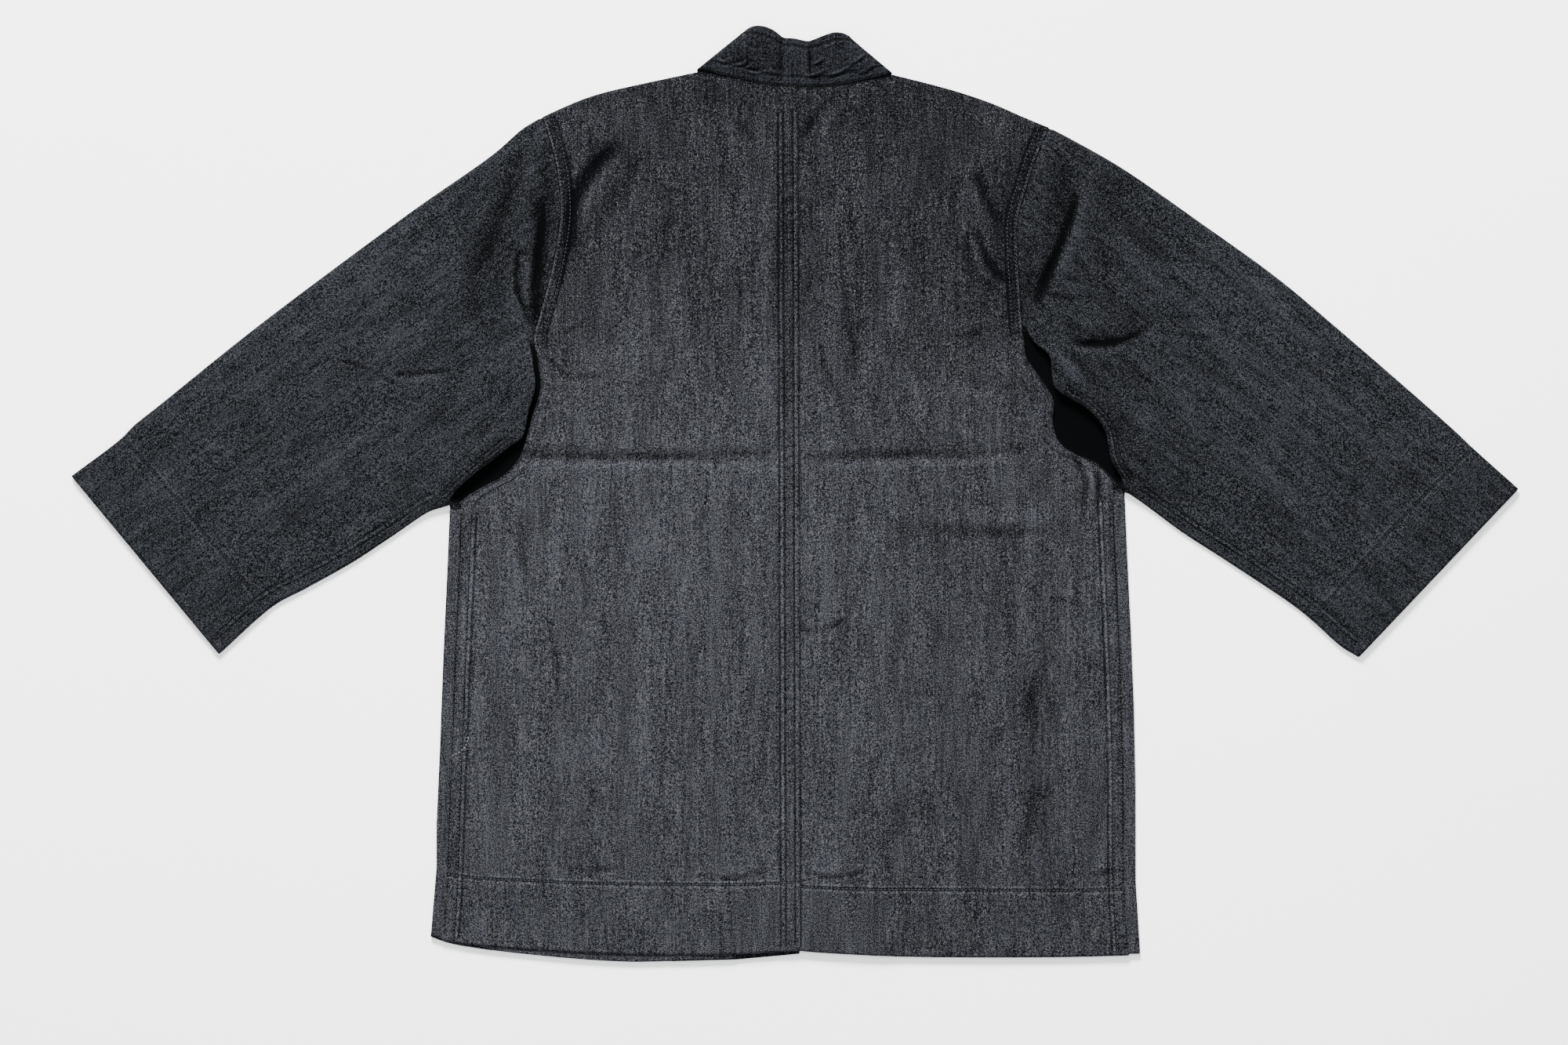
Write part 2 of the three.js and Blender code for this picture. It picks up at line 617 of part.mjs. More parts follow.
function frontPanel(half) {
  const underarm = last(half.sideEdge).y;
  const heights = sideHeights(half).slice(0, -1);
  heights.push(underarm - WRAP_END);
  const wrapRows = heights.length;
  const edge = heights.map((y) => new THREE.Vector3(crossingAt(half.sideEdge, y), y, 0));
  const start = [...edge, ...alongBoundary([half.frontArmhole], FRONT_ARMHOLE_SHARES)];
  const bottom = start[0].y;
  const top = last(start).y;
  const vs = start.map(({ y }) => (y - bottom) / (top - bottom));

  const flatRun = BAND_RUN.filter(({ x, z }) => x * half.sign > 0 && z === 0);
  if (half.sign > 0) flatRun.reverse();
  const hemEnd = last(half.frontHem);
  const neckPoint = last(half.shoulder);
  const bandLine = [hemEnd, ...flatRun.slice(1), neckPoint];
  const end = vs.map((v) => {
    const y = mix(hemEnd.y, neckPoint.y, v);
    const x = crossingAt(bandLine, y) + half.sign * BAND_SEAM_GAP;
    return new THREE.Vector3(x, y, 0);
  });

  const us = stops([0, FRONT_EDGE_SHARE], FRONT_STEPS, [1]);
  const low = alongBoundary([half.frontHem], us);
  const high = alongBoundary([half.shoulder], us);
  low[low.length - 1] = end[0];
  high[high.length - 1] = last(end);
  const clear = movedSideways(start, new Array(start.length).fill(half.sign * SEAM_GAP));
  const grid = patch({ start, end, low, high, us, vs });
  const rows = grid.map((points, i) => {
    const turned = ({ inset, height }) => {
      const seam = sideSeamAt(half, heights[i]);
      seam.x += half.sign * SEAM_GAP;
      const point = start[i].clone().lerp(seam, inset);
      point.z = height * bodyHeight(point);
      return { point, relief: 0 };
    };
    const wraps = i < wrapRows;
    const turn = SIDE_TURN.map((place) => (wraps ? turned(place) : null));
    const edgeVertex = wraps ? turned(SIDE_TURN_FOOT) : { point: clear[i], relief: 0 };
    const flat = points.slice(1).map((point) => ({ point, relief: 0 }));
    return [...turn, edgeVertex, ...flat];
  });
  return clothWall(rows, { side: half.sign });
}

// ---- Sleeves: a flattened tube, pleated under at the armhole ------------------------

const EDGE_LIFT = 0.5; // height of a folded edge's outermost line
const NEAR_EDGE_LIFT = 0.93; // and of the lines just above it
const UNDER_LIFT = 0.06; // and just below it
const HEM_SLOPE = 0.004;
const PLEAT_LAP = 3.2; // the flat of the sleeve starts this far in from the pleat
const UNDER_LAP = 5; // and its under layer this far from the front's armhole
const SLEEVE_STEPS = 11;
const SLEEVE_START = [0.024, 0.05]; // shares of the first rings from the armhole

/** Shares of the sleeve's height for a row of columns that ends at two edges. */
function topLifts(count) {
  const lifts = new Array(count).fill(1);
  lifts[0] = EDGE_LIFT;
  lifts[1] = NEAR_EDGE_LIFT;
  lifts[count - 2] = NEAR_EDGE_LIFT;
  lifts[count - 1] = EDGE_LIFT;
  return lifts;
}

function sleeve(half) {
  const armhole = half.armhole;
  const edge = armhole.map(({ edgeX, edgeY }) => new THREE.Vector3(edgeX, edgeY, 0));
  const lifts = topLifts(armhole.length);
  const underSeam = alongBoundary([half.frontArmhole], FRONT_ARMHOLE_SHARES);
  const underEdge = underSeam.map((point) => {
    const away = point.clone();
    away.x += half.sign * UNDER_LAP;
    return away;
  });
  underEdge[0] = edge[0];
  underEdge[underEdge.length - 1] = last(edge);

  const foldLength = planLine(half.sleeveFold).getLength();
  const hemStop = 1 - CUFF_HEM_DEPTH / foldLength;
  const vs = stops(SLEEVE_START, SLEEVE_STEPS, [hemStop - HEM_SLOPE, hemStop, 1]);
  const along = {
    start: alongBoundary([half.sleeveUnder], vs),
    end: alongBoundary([half.sleeveFold], vs),
    vs,
  };
  const grids = { top: null, under: null };
  const laps = armhole.map(({ pleat }) => -half.sign * PLEAT_LAP * Math.min(1, pleat));
  for (const [layer, line] of [
    ["top", movedSideways(edge, laps)],
    ["under", underEdge],
  ]) {
    const us = sharesOf(line);
    const high = alongBoundary([[...half.cuff].reverse()], us);
    grids[layer] = patch({ ...along, low: line, high, us });
  }

  const finish = (point, lift) => {
    point.z = lift * sleeveHeight(point);
    return point;
  };
  const rings = vs.map((v, i) => {
    const hemRelief = v >= hemStop ? HEM_RELIEF : 0;
    const topRow = grids.top[i].map((point, j) => {
      const relief = lifts[j] > EDGE_LIFT ? hemRelief : 0;
      return { point: finish(point, lifts[j]), relief };
    });
    const underRow = grids.under[i].slice(1, -1).map((point, j, inner) => {
      const nearEdge = j === 0 || j === inner.length - 1;
      return { point: finish(point, nearEdge ? UNDER_LIFT : 0), relief: 0 };
    });
    return [...topRow, ...underRow.reverse()];
  });

  const sewn = besideArmhole(half, SEAM_GAP, PLEAT[0].past + SEAM_GAP);
  const pleatRings = PLEAT.map((stage, k) => {
    const share = stage.ramp;
    const past = k === 0 ? stage.past + SEAM_GAP : stage.past;
    const distances = armhole.map(({ pleat }) => {
      const tucked = Math.max(0, pleat - 1) * stage.tuck;
      return -half.sign * (past + tucked);
    });
    const line = stage.across === 0 ? armhole.map(atPlan) : edge;
    const steppedLine = movedSideways(line, distances);
    const topRow = armhole.map(({ pleat }, j) => {
      const bodyTop = lifts[j] * bodyHeight(sewn[j]);
      const sleeveTop = lifts[j] * sleeveHeight(edge[j]);
      const plain = sewn[j].clone().lerp(edge[j], share);
      plain.z = mix(bodyTop, sleeveTop, share);
      const stepped = steppedLine[j];
      stepped.z = stage.floor ?? bodyTop - stage.belowBody;
      if (stage.belowSleeve) stepped.z = sleeveTop - stage.belowSleeve;
      return { point: plain.lerp(stepped, Math.min(1, pleat)), relief: 0 };
    });
    const underRow = underSeam.slice(1, -1).map((seam, j, inner) => {
      const nearEdge = j === 0 || j === inner.length - 1;
      const point = seam.clone().lerp(underEdge[j + 1], share);
      return { point: finish(point, nearEdge ? UNDER_LIFT : 0), relief: 0 };
    });
    return [...topRow, ...underRow.reverse()];
  });
  return clothWall([...pleatRings, ...rings], { side: -half.sign, round: true });
}

// ---- Collar band ----------------------------------------------------------------

function collarBand() {
  const rows = BAND_RUN.map((row) =>
    BAND_SHARES.map((share) => {
      const point = new THREE.Vector3(
        mix(row.x, row.freeX, share),
        mix(row.y, row.freeY, share),
        mix(row.z, row.freeZ, share),
      );
      const arch = 4 * share * (1 - share) * BAND_BULGE;
      if (row.z > BAND_CLOTH) point.z += arch * row.freeZ;
      return { point, relief: 0 };
    }),
  );
  return clothWall(rows, { side: -1, thickness: BAND_CLOTH });
}

// ---- The jacket -------------------------------------------------------------------

const jacket = new THREE.Group();
for (const [word, half] of [
  ["left", LEFT],
  ["right", RIGHT],
]) {
  jacket.add(clothMesh(`front_${word}`, frontPanel(half), CLOTH_COLOURS.body));
  jacket.add(clothMesh(`back_${word}`, backPanel(half), CLOTH_COLOURS.body));
  jacket.add(clothMesh(`sleeve_${word}`, sleeve(half), CLOTH_COLOURS.sleeve));
}
jacket.add(clothMesh("collar_band", collarBand(), CLOTH_COLOURS.collar));

export default jacket;
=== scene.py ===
"""A denim haori jacket laid face down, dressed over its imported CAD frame.

The two fronts rest on the surface, the back lies on them, the sleeves lie out
flat and the collar band stands a little above the neckline. The wearer's left
is at -X and the collar at +Y. Lengths are in millimetres until a mesh is made,
and heights are above the surface that the jacket lies on.
"""

import logging
import math
from collections.abc import Sequence
from dataclasses import dataclass, field
from enum import Enum
from typing import NamedTuple

import bpy
import numpy as np
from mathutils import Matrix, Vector
from mathutils.bvhtree import BVHTree
from numpy.typing import NDArray


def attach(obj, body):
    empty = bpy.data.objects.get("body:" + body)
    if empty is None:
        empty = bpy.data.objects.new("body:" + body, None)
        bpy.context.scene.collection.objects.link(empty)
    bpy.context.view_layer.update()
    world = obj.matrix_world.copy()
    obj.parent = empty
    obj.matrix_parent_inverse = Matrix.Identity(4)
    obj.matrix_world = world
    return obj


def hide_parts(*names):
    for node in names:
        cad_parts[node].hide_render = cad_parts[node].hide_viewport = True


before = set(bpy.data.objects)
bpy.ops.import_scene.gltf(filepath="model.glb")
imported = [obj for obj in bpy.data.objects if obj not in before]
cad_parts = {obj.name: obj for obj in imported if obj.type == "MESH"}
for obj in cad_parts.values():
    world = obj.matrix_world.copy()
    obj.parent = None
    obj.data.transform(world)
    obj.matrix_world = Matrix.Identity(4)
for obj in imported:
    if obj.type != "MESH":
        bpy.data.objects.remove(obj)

Array = NDArray[np.float64]
Rows = tuple[tuple[float, ...], ...]
Triple = tuple[float, float, float]
Piece = bpy.types.Object
Material = bpy.types.Material
Socket = bpy.types.NodeSocket
Value = Socket | float | Sequence[float]
log = logging.getLogger("haori")

MM = 0.001
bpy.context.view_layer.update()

# ---- Driving dimensions, the same as the CAD model's --------------------------

CLOTH = 1.2
BAND_CLOTH = 2 * CLOTH
SEAM_GAP = 0.3
FELL_RELIEF = 0.6
HEM_RELIEF = 0.5
BODY_HEIGHT = 3.6
BAND_LIFT = 0.9
BAND_REACH = (70.0, 95.0)
SLEEVE_HEIGHT = 3.9
SHOULDER_EDGE = 2 * CLOTH + SEAM_GAP
SIDE_WRAP = 10.0
HEM_DEPTH = 58.0
CUFF_HEM_DEPTH = 55.0
FELL_WIDTH = 11.0
FELL_SLOPE = 1.4
CENTRE_HEM = (3.4, -393.0)
CENTRE_NECK = (0.7, 351.0)

# ---- Finer sizes, which only this script needs --------------------------------

COLUMN_STEP = 2.3  # between the columns of a finely modelled panel
SEAM_STEP = 1.0  # between the columns of a felled band
ROW_STEP = 2.5
COARSE_STEP = 6.0  # on panels that lie underneath
LIP = 8  # columns that a panel's edge turns back under itself
STITCH_PITCH = 3.3
STITCH_LENGTH = 2.5
THREAD = 0.62  # its thickness
SLEEVE_GRAIN = 52.5  # degrees from the jacket's length to the sleeve's
NO_ROW = 90.0  # stands for the distance from rows of stitches that aren't there
PUCKER_POINTS = 60  # at least, along a row of stitches that gathers the cloth
HEM_INSET = 1.5  # from a hem's edge to its row of stitches


class Side(Enum):
    """The wearer's side, with the sign of its x."""

    LEFT = -1
    RIGHT = 1


class ArmholeRow(NamedTuple):
    """The back's edge, the sleeve's visible edge beside it, and the pleat there."""

    x: float
    y: float
    edge_x: float
    edge_y: float
    pleat: float  # 0 for none, 1 for a step, 2 for a step folded fully under


def armhole_rows(*rows: tuple[float, ...]) -> tuple[ArmholeRow, ...]:
    """An armhole's table from plain rows."""
    return tuple(ArmholeRow(*row) for row in rows)


class PleatStage(NamedTuple):
    """A line of the pleat beside the armhole, in order away from the body."""

    ramp: float  # share of the way across where there is no pleat
    across: int
    past: float
    tuck: float
    floor: float | None = None  # height above the surface
    below: float = 0.0  # or under the body's top, or the sleeve's


PLEAT = (
    PleatStage(ramp=0, across=0, past=-2.4, tuck=0),
    PleatStage(ramp=0.1, across=0, past=-0.1, tuck=0, below=0.3),
    PleatStage(ramp=0.2, across=0, past=0.9, tuck=0, floor=3),
    PleatStage(ramp=0.4, across=1, past=-0.8, tuck=7.8, floor=3),
    PleatStage(ramp=0.5, across=1, past=-0.1, tuck=8.4, floor=3.9),
    PleatStage(ramp=0.6, across=1, past=0.2, tuck=6.8, floor=4.8),
    PleatStage(ramp=0.7, across=1, past=0.1, tuck=0.8, floor=5.4),
    PleatStage(ramp=0.8, across=1, past=0, tuck=0, below=2.2),
    PleatStage(ramp=0.9, across=1, past=0.9, tuck=0, below=0.6),
)
PLEAT_LAP = 3.2
UNDER_LAP = 5.0
SLEEVE_START = 0.024  # share of the first full ring from the armhole
SIDE_SEAM_ROW = 2


@dataclass(frozen=True)
class Half:
    """The outline tables of one half, each row an (x, y) on the plan."""

    side: Side
    side_edge: Rows
    back_hem: Rows
    front_hem: Rows
    armhole: tuple[ArmholeRow, ...]
    front_armhole: Rows
    shoulder: Rows
    neck: Rows
    sleeve_fold: Rows
    cuff: Rows
    sleeve_under: Rows
    band_foot: float  # height where the armhole's felled band goes under the sleeve
    pocket_end: float  # row of the armhole where the sleeve's felled edge goes under
    fell_at_centre: bool

    @property
    def sign(self) -> int:
        """-1 on the wearer's left and 1 on the right."""
        return self.side.value

    @property
    def word(self) -> str:
        """The side as node names spell it."""
        return self.side.name.lower()


LEFT = Half(
    side=Side.LEFT,
    side_edge=(
        (-314, -381), (-309, -321), (-309, -284), (-306, -217), (-303.5, -148),
        (-299.5, -60), (-297.4, -10),
    ),
    back_hem=((-304, -384), (-278, -388), (-226, -392), (-145, -396), (-53, -396), CENTRE_HEM),
    front_hem=(
        (-314, -381), (-296, -387), (-226, -396.5), (-145, -402.5), (-108, -402),
        (-50.7, -400.4),
    ),
    armhole=armhole_rows(
        (-297.4, -9.5, -302.5, -11, 0),
        (-294.6, -8.6, -300, -6, 0),
        (-287.5, -6, -292.5, 2.5, 1),
        (-280, 0, -279, 15, 2),
        (-265, 8.5, -260, 29.5, 2),
        (-251.5, 16, -246, 40.5, 2),
        (-237.5, 31.5, -235, 48.5, 2),
        (-232, 46, -232.5, 55, 2),
        (-226, 68, -229.5, 70, 2),
        (-219, 92, -223.5, 93, 1.6),
        (-221, 112, -225.5, 112, 1),
        (-224.5, 134, -229.5, 134, 0),
        (-219, 156, -224, 155, 0),
        (-208, 198, -213, 197, 0),
        (-201.5, 245, -206.5, 244, 0),
        (-205.5, 285, -210.5, 283, 0),
        (-212.5, 311, -217, 308.6, 0),
        (-215.8, 321.2, -220.3, 318.8, 0),
        (-217, 325, -221.5, 322.6, 0),
    ),
    front_armhole=((-297.4, -9.5), (-262, 28), (-232, 90), (-214, 180), (-206, 255), (-217, 325)),
    shoulder=((-217, 325), (-202, 332), (-183, 340), (-164, 346), (-115, 357), (-85.6, 363)),
    neck=((-85.6, 363), (-80, 363.4), (-53, 358.5), (-26, 352.5), CENTRE_NECK),
    sleeve_fold=(
        (-221.5, 322.6), (-235, 314), (-260, 292.5), (-331, 243), (-461, 146.5),
        (-549.5, 75.5), (-569, 60), (-581, 48), (-623.3, 16),
    ),
    cuff=((-623.3, 16), (-496, -137.6)),
    sleeve_under=(
        (-302.5, -11), (-315, -15), (-347.5, -36.5), (-381, -58.5), (-422, -81.5),
        (-449, -96), (-496, -137.6),
    ),
    band_foot=124,
    pocket_end=5.4,
    fell_at_centre=True,
)

RIGHT = Half(
    side=Side.RIGHT,
    side_edge=(
        (297.4, -395.5), (293.5, -332), (293.4, -250), (292, -182), (289.3, -115),
        (286, -47), (284, 1),
    ),
    back_hem=((287.4, -397), (227, -398.5), (92, -398), (21, -394.5), CENTRE_HEM),
    front_hem=((297.4, -395.5), (227, -397), (92, -396.5), (60, -395)),
    armhole=armhole_rows(
        (284, 1.5, 288.5, 0, 0),
        (280, 6, 285, 8, 0),
        (274.5, 12, 281, 14.5, 1),
        (258, 28, 272.5, 28.5, 2),
        (244, 33.5, 270, 41, 2),
        (229, 43.5, 267, 54, 2),
        (224, 53, 260, 65, 1),
        (222.5, 66, 249, 75.5, 1),
        (223, 79, 236, 83, 1),
        (217.5, 91, 223.5, 92, 1.8),
        (207, 106, 221, 106, 2),
        (199, 119, 219, 119, 1.6),
        (197.5, 132, 205, 132, 1),
        (195, 146, 200, 146, 0),
        (193.5, 169, 198.5, 169, 0),
        (191.2, 208, 196.2, 207, 0),
        (191.5, 237, 196.5, 236, 0),
        (199, 264, 204, 262, 0),
        (205.5, 285, 210.5, 283, 0),
        (212.5, 303, 217, 300.5, 0),
        (216.7, 312.4, 221.2, 310, 0),
        (218, 316, 222.3, 313.6, 0),
    ),
    front_armhole=((284, 1.5), (252, 35), (224, 92), (204, 175), (197, 245), (218, 316)),
    shoulder=((218, 316), (204, 321.5), (171, 336), (142, 346), (119, 352.5), (84.4, 361)),
    neck=((84.4, 361), (73, 359.3), (55, 355), (40, 352.3), (17.6, 350.3), CENTRE_NECK),
    sleeve_fold=(
        (222.3, 313.6), (238.5, 305), (281, 281), (350, 233.5), (415, 187),
        (463.5, 146.5), (569, 54.5), (581, 43), (623.3, 5),
    ),
    cuff=((623.3, 5), (485.5, -140.3)),
    sleeve_under=(
        (288.5, 0), (301.5, -9), (334, -33), (366.5, -54), (431, -97),
        (447.5, -110.5), (471, -131.5), (485.5, -140.3),
    ),
    band_foot=136,
    pocket_end=8.6,
    fell_at_centre=False,
)


class BandSection(NamedTuple):
    """A section across the collar band, with its outer face's height at each edge."""

    x: float
    y: float
    free_x: float
    free_y: float
    z: float
    free_z: float


BAND_RUN = tuple(BandSection(*row) for row in (
    (-51.3, -401, 3.3, -396, 0, 0),
    (-51, -250, 3.2, -250, 0, 0),
    (-51, -90, 3.2, -90, 0, 0),
    (-51, 50, 3.2, 50, 0, 0),
    (-52, 130, 2.6, 135, 0, 0),
    (-56, 200, -2, 212, 0, 0),
    (-63, 262, -11, 284, 0, 0),
    (-72, 315, -24, 344, 0, 0),
    (-82.6, 357.5, -38.5, 394, 0, 0),
    (-84.2, 363.4, -41, 398.8, 0.9, 0.9),
    (-84.4, 365.2, -41.5, 400, 3.4, 4.4),
    (-83.4, 366.4, -40.6, 401, 6.4, 8.2),
    (-77, 365.4, -38, 402, 7.2, 10.6),
    (-66, 361.7, -34, 402.6, 6.9, 12.6),
    (-51, 358.5, -28, 402, 6.5, 13.6),
    (-35, 354.8, -20, 399.3, 6, 13.2),
    (-21, 352.2, -13.4, 395, 6, 11.6),
    (-13, 351.8, -9.6, 392.6, 5.8, 8.2),
    (2, 351.5, 0, 391.8, 6, 8.4),
    (14.5, 350.9, 11.5, 389.6, 5.8, 8),
    (21, 351, 16.5, 391, 6, 10.6),
    (33, 351.9, 25, 394, 6, 12.8),
    (47, 354.2, 33.5, 396.6, 6, 13.2),
    (61, 357.2, 41, 396.4, 6.6, 12),
    (74.5, 360.5, 46.5, 394.3, 7.1, 9.9),
    (82.6, 363.4, 50, 391, 6.4, 8),
    (83.6, 362.8, 51, 389.8, 3.4, 4.2),
    (83.4, 361, 50.4, 388.2, 0.9, 0.9),
    (82, 355.5, 48, 384, 0, 0),
    (74.5, 312, 31, 340, 0, 0),
    (68.5, 262, 17.5, 283, 0, 0),
    (63, 200, 9, 211, 0, 0),
    (60, 130, 5.2, 134, 0, 0),
    (59, 50, 4.6, 50, 0, 0),
    (59, -90, 4.6, -90, 0, 0),
    (59, -250, 4.6, -250, 0, 0),
    (59.4, -394.5, 4.8, -392.5, 0, 0),
))
BAND_BULGE = 0.14
ARMHOLE_ROWS = (4.8, 1.8, 7.8)  # the middle and both rows, from the body's edge
SIDE_TACK = ((-281.2, -208.6), (-283.5, -216.5), (-289.5, -222.5), (-299, -227))


class Crease(NamedTuple):
    """A soft ridge, or a trough where its height is below zero, along a plan line."""

    line: Rows
    half_width: float
    height: float
    lean: float = 0.0  # how strongly the cloth sinks beside it, on its left if above zero
    tapered: bool = True


def fold(x: float, y: float, to_x: float, to_y: float, half_width: float, height: float) -> Crease:
    """One of the largest folds, straight and even, as in the CAD model."""
    return Crease(((x, y), (to_x, to_y)), half_width, height, tapered=False)


def creases(*rows: tuple[float, ...]) -> tuple[Crease, ...]:
    """Creases from rows of a half-width, a height, a lean and each point's x and y."""
    return tuple(Crease(tuple(zip(row[3::2], row[4::2])), *row[:3]) for row in rows)


BODY_FOLDS = (
    fold(-220, 95, -282, 0, 24, 2.2),
    fold(212, 100, 268, 22, 24, 2.2),
    fold(-186, 305, -196, 225, 20, 1.3),
    fold(168, 262, 188, 180, 20, 1.4),
    fold(-80, 352, 80, 350, 22, 1.6),
    fold(-60, 330, -30, 90, 22, 0.9),
    fold(45, 320, 60, 70, 22, 0.9),
    fold(-120, 250, -130, -40, 24, 0.7),
    fold(128, 230, 130, -60, 24, 0.7),
    fold(-190, -80, -200, -340, 26, 0.8),
    fold(-95, -110, -90, -350, 24, 0.6),
    fold(90, -90, 95, -340, 24, 0.6),
    fold(205, -60, 210, -330, 26, 0.8),
    fold(-232, 29, -20, 29, 7, -0.9),
    fold(12, 27, 190, 37, 7, -0.9),
)
SLEEVE_FOLDS = (
    fold(-224, 96, -280, 20, 38, 7.2),
    fold(226, 112, 271, 33, 38, 7.2),
    fold(-238, 260, -252, 150, 24, 1.8),
    fold(-268, 300, -262, 170, 16, -1.1),
    fold(246, 262, 212, 168, 20, 3),
    fold(-330, 106, -300, 110, 14, -2),
    fold(246, 128, 296, 144, 13, -3),
    fold(-320, 170, -520, 20, 26, 0.8),
    fold(320, 160, 520, 5, 26, 0.8),
)

# Creases of the body, collar to hem. Each row has a half-width, a height,
# a lean and then the x and y of each point.
BODY_CREASES = creases(
    # beside the neck and down both sides of the centre seam
    (3, -1.1, 0, 35, 343.5, 25, 335.5, 19, 325.5, 9.5, 312.7, 4, 300),
    (5, 0.8, 0, 48, 338, 36, 330, 27, 316, 20, 290),
    (4, -0.8, 0, -50, 323, -42.5, 313, -32.5, 302),
    (2.5, 0.8, 0, -17, 335.5, -18, 323, -15, 316),
    (5, 0.6, 0, -64, 338, -60, 318, -48, 298),
    (6, 0.7, 0.5, -26, 325, -22, 260, -25, 190, -19, 48),
    (3, -0.7, 0, -50.5, 187, -43, 149),
    (3, -0.6, 0, -17.5, 158.5, -10, 120.5, -13, 59),
    (3.5, -0.9, 0, 47.5, 177, 45.5, 146.5, 51.5, 123, 55.5, 100),
    (3, -0.6, 0, 67, 231, 69, 216),
    (3, -0.7, 0, 20.5, 135, 26.5, 108, 40, 77, 44, 54),
    (7, 0.6, -0.5, 30, 300, 33, 230, 28, 150, 34, 90),
    # the wearer's left shoulder blade and armhole
    (1.6, -1.0, 0, -178, 322, -176.5, 303, -176, 287),
    (3, 0.6, 0, -183, 320, -181, 300, -182, 280),
    (5.6, -2.3, 0, -150, 304, -168, 287, -184, 264, -192, 240, -194, 208),
    (6, 1.0, 0, -150, 290, -168, 268, -182, 244, -186, 216),
    (3, 0.8, 0, -184, 302, -188, 280, -195, 256),
    (3.5, -0.9, 0, -195, 226, -197, 205, -203, 180),
    (8, -0.6, 0.5, -130, 300, -150, 262, -172, 220),
    (8, 0.5, 0.5, -100, 290, -130, 225, -160, 185),
    (2.0, -0.8, 0.5, -206, 135, -178, 149),
    (1.8, -1.1, 0.5, -218, 120.5, -206, 111, -197, 101.5),
    (1.8, -0.9, 0.4, -201.5, 101.5, -180, 101, -163.5, 103),
    (2.4, 0.6, -0.5, -222, 104, -208, 95, -195, 93),
    (2.4, -0.5, 0.4, -226, 84, -212, 78, -196, 80),
    # the wearer's right shoulder blade and armhole
    (5, -1.6, 0, 156, 278, 164, 254, 179, 230),
    (3.4, -2.0, 0, 156, 228, 164, 205, 173, 190, 187, 178),
    (5, 0.8, 0, 178, 222, 184, 206, 190, 190),
    (6, 0.7, 0, 150, 272, 158, 248, 170, 230),
    (5, -0.8, 0.5, 144, 223.5, 159.5, 185, 179, 173),
    (4, -0.6, 0.4, 125, 135, 152, 138, 167, 146),
    (6, 0.6, 0.3, 120, 100, 158, 84, 196, 82),
    (2.2, -1.0, 0.4, 194, 99.7, 202, 84, 207.5, 76.7),
    (7, 0.5, 0.4, 60, 132, 96, 98, 140, 80),
    # across the waist, where the jacket was folded
    (4.2, -0.8, 0, -239.5, 33.5, -180, 32, -126, 31.5, -70, 31, -18, 30),
    (5, 0.6, 0, -236, 25, -150, 24, -60, 23.5, -20, 24),
    (4, -0.75, 0, -244, 36, -200, 32.5, -150, 28),
    (2, -0.5, 0, -236, 41, -200, 40, -170, 39),
    (2, -0.7, 0, -70, 36, -40, 35, -18, 35),
    (3.6, -0.9, 0, 5, 31, 55, 32, 113, 34, 159.5, 34, 208, 40),
    (5, 0.6, 0, 8, 23, 80, 25, 150, 26, 200, 32),
    (6, -0.8, 0.4, 65.6, -27.4, 114, -30, 167, -33, 249.5, -30),
    # the skirt
    (3.2, -0.8, 0, -236.5, -14, -235.5, -50, -231.5, -78, -228, -97),
    (1.8, 0.8, 0, -241, -18, -241, -50, -239, -76),
    (2, 0.9, -0.5, -246, 27, -241.5, 17, -240, 4),
    (3.5, 0.9, 0, -252, 12, -256, -14, -250, -48),
    (3, -0.7, 0.4, -207, -124, -205, -163),
    (2.5, -0.6, 0.4, -50, -81, -26, -83.5),
    (2.4, -1.1, 0.5, 8, -117, 27, -116, 46.6, -106),
    (2.4, -0.9, 0.5, 3.4, -110, 12.8, -124),
    (2.2, 1.7, 0, 244.5, 38, 252, 22.5, 256, 7, 254, -16, 250, -31.5),
    (2.4, -1.4, 0, 238.5, 36, 246, 22, 250, 7, 248, -16),
    (2.4, -1.3, 0, 251, 40, 259, 24, 262, 6, 260, -20),
    (8, -0.6, 0, 211, -143.6, 202, -180, 191, -211),
    (7, -0.7, 0, 191, -317, 201, -279, 211, -250),
    (3, -0.6, 0.5, 220, -90, 249.5, -95),
    (4, -0.5, 0.5, -180.5, -235.5, -171, -279),
    (1.6, -1.3, 0.4, -79, -329.5, -50, -331, -26, -323.5),
    (1.6, -1.5, 0.4, 8, -325, 27, -329.5, 46.6, -328, 61, -323.5),
    (2.4, -0.7, 0.4, -200, -322, -176, -324, -150, -321),
    (2.2, -1.0, 0.4, 249.5, -329.5, 274, -325, 286, -326),
    (5, 0.6, -0.4, -275, -20, -284, -120, -289, -230),
    (5, 0.7, 0.4, 262, -8, 270, -100, 273, -220, 276, -320),
)
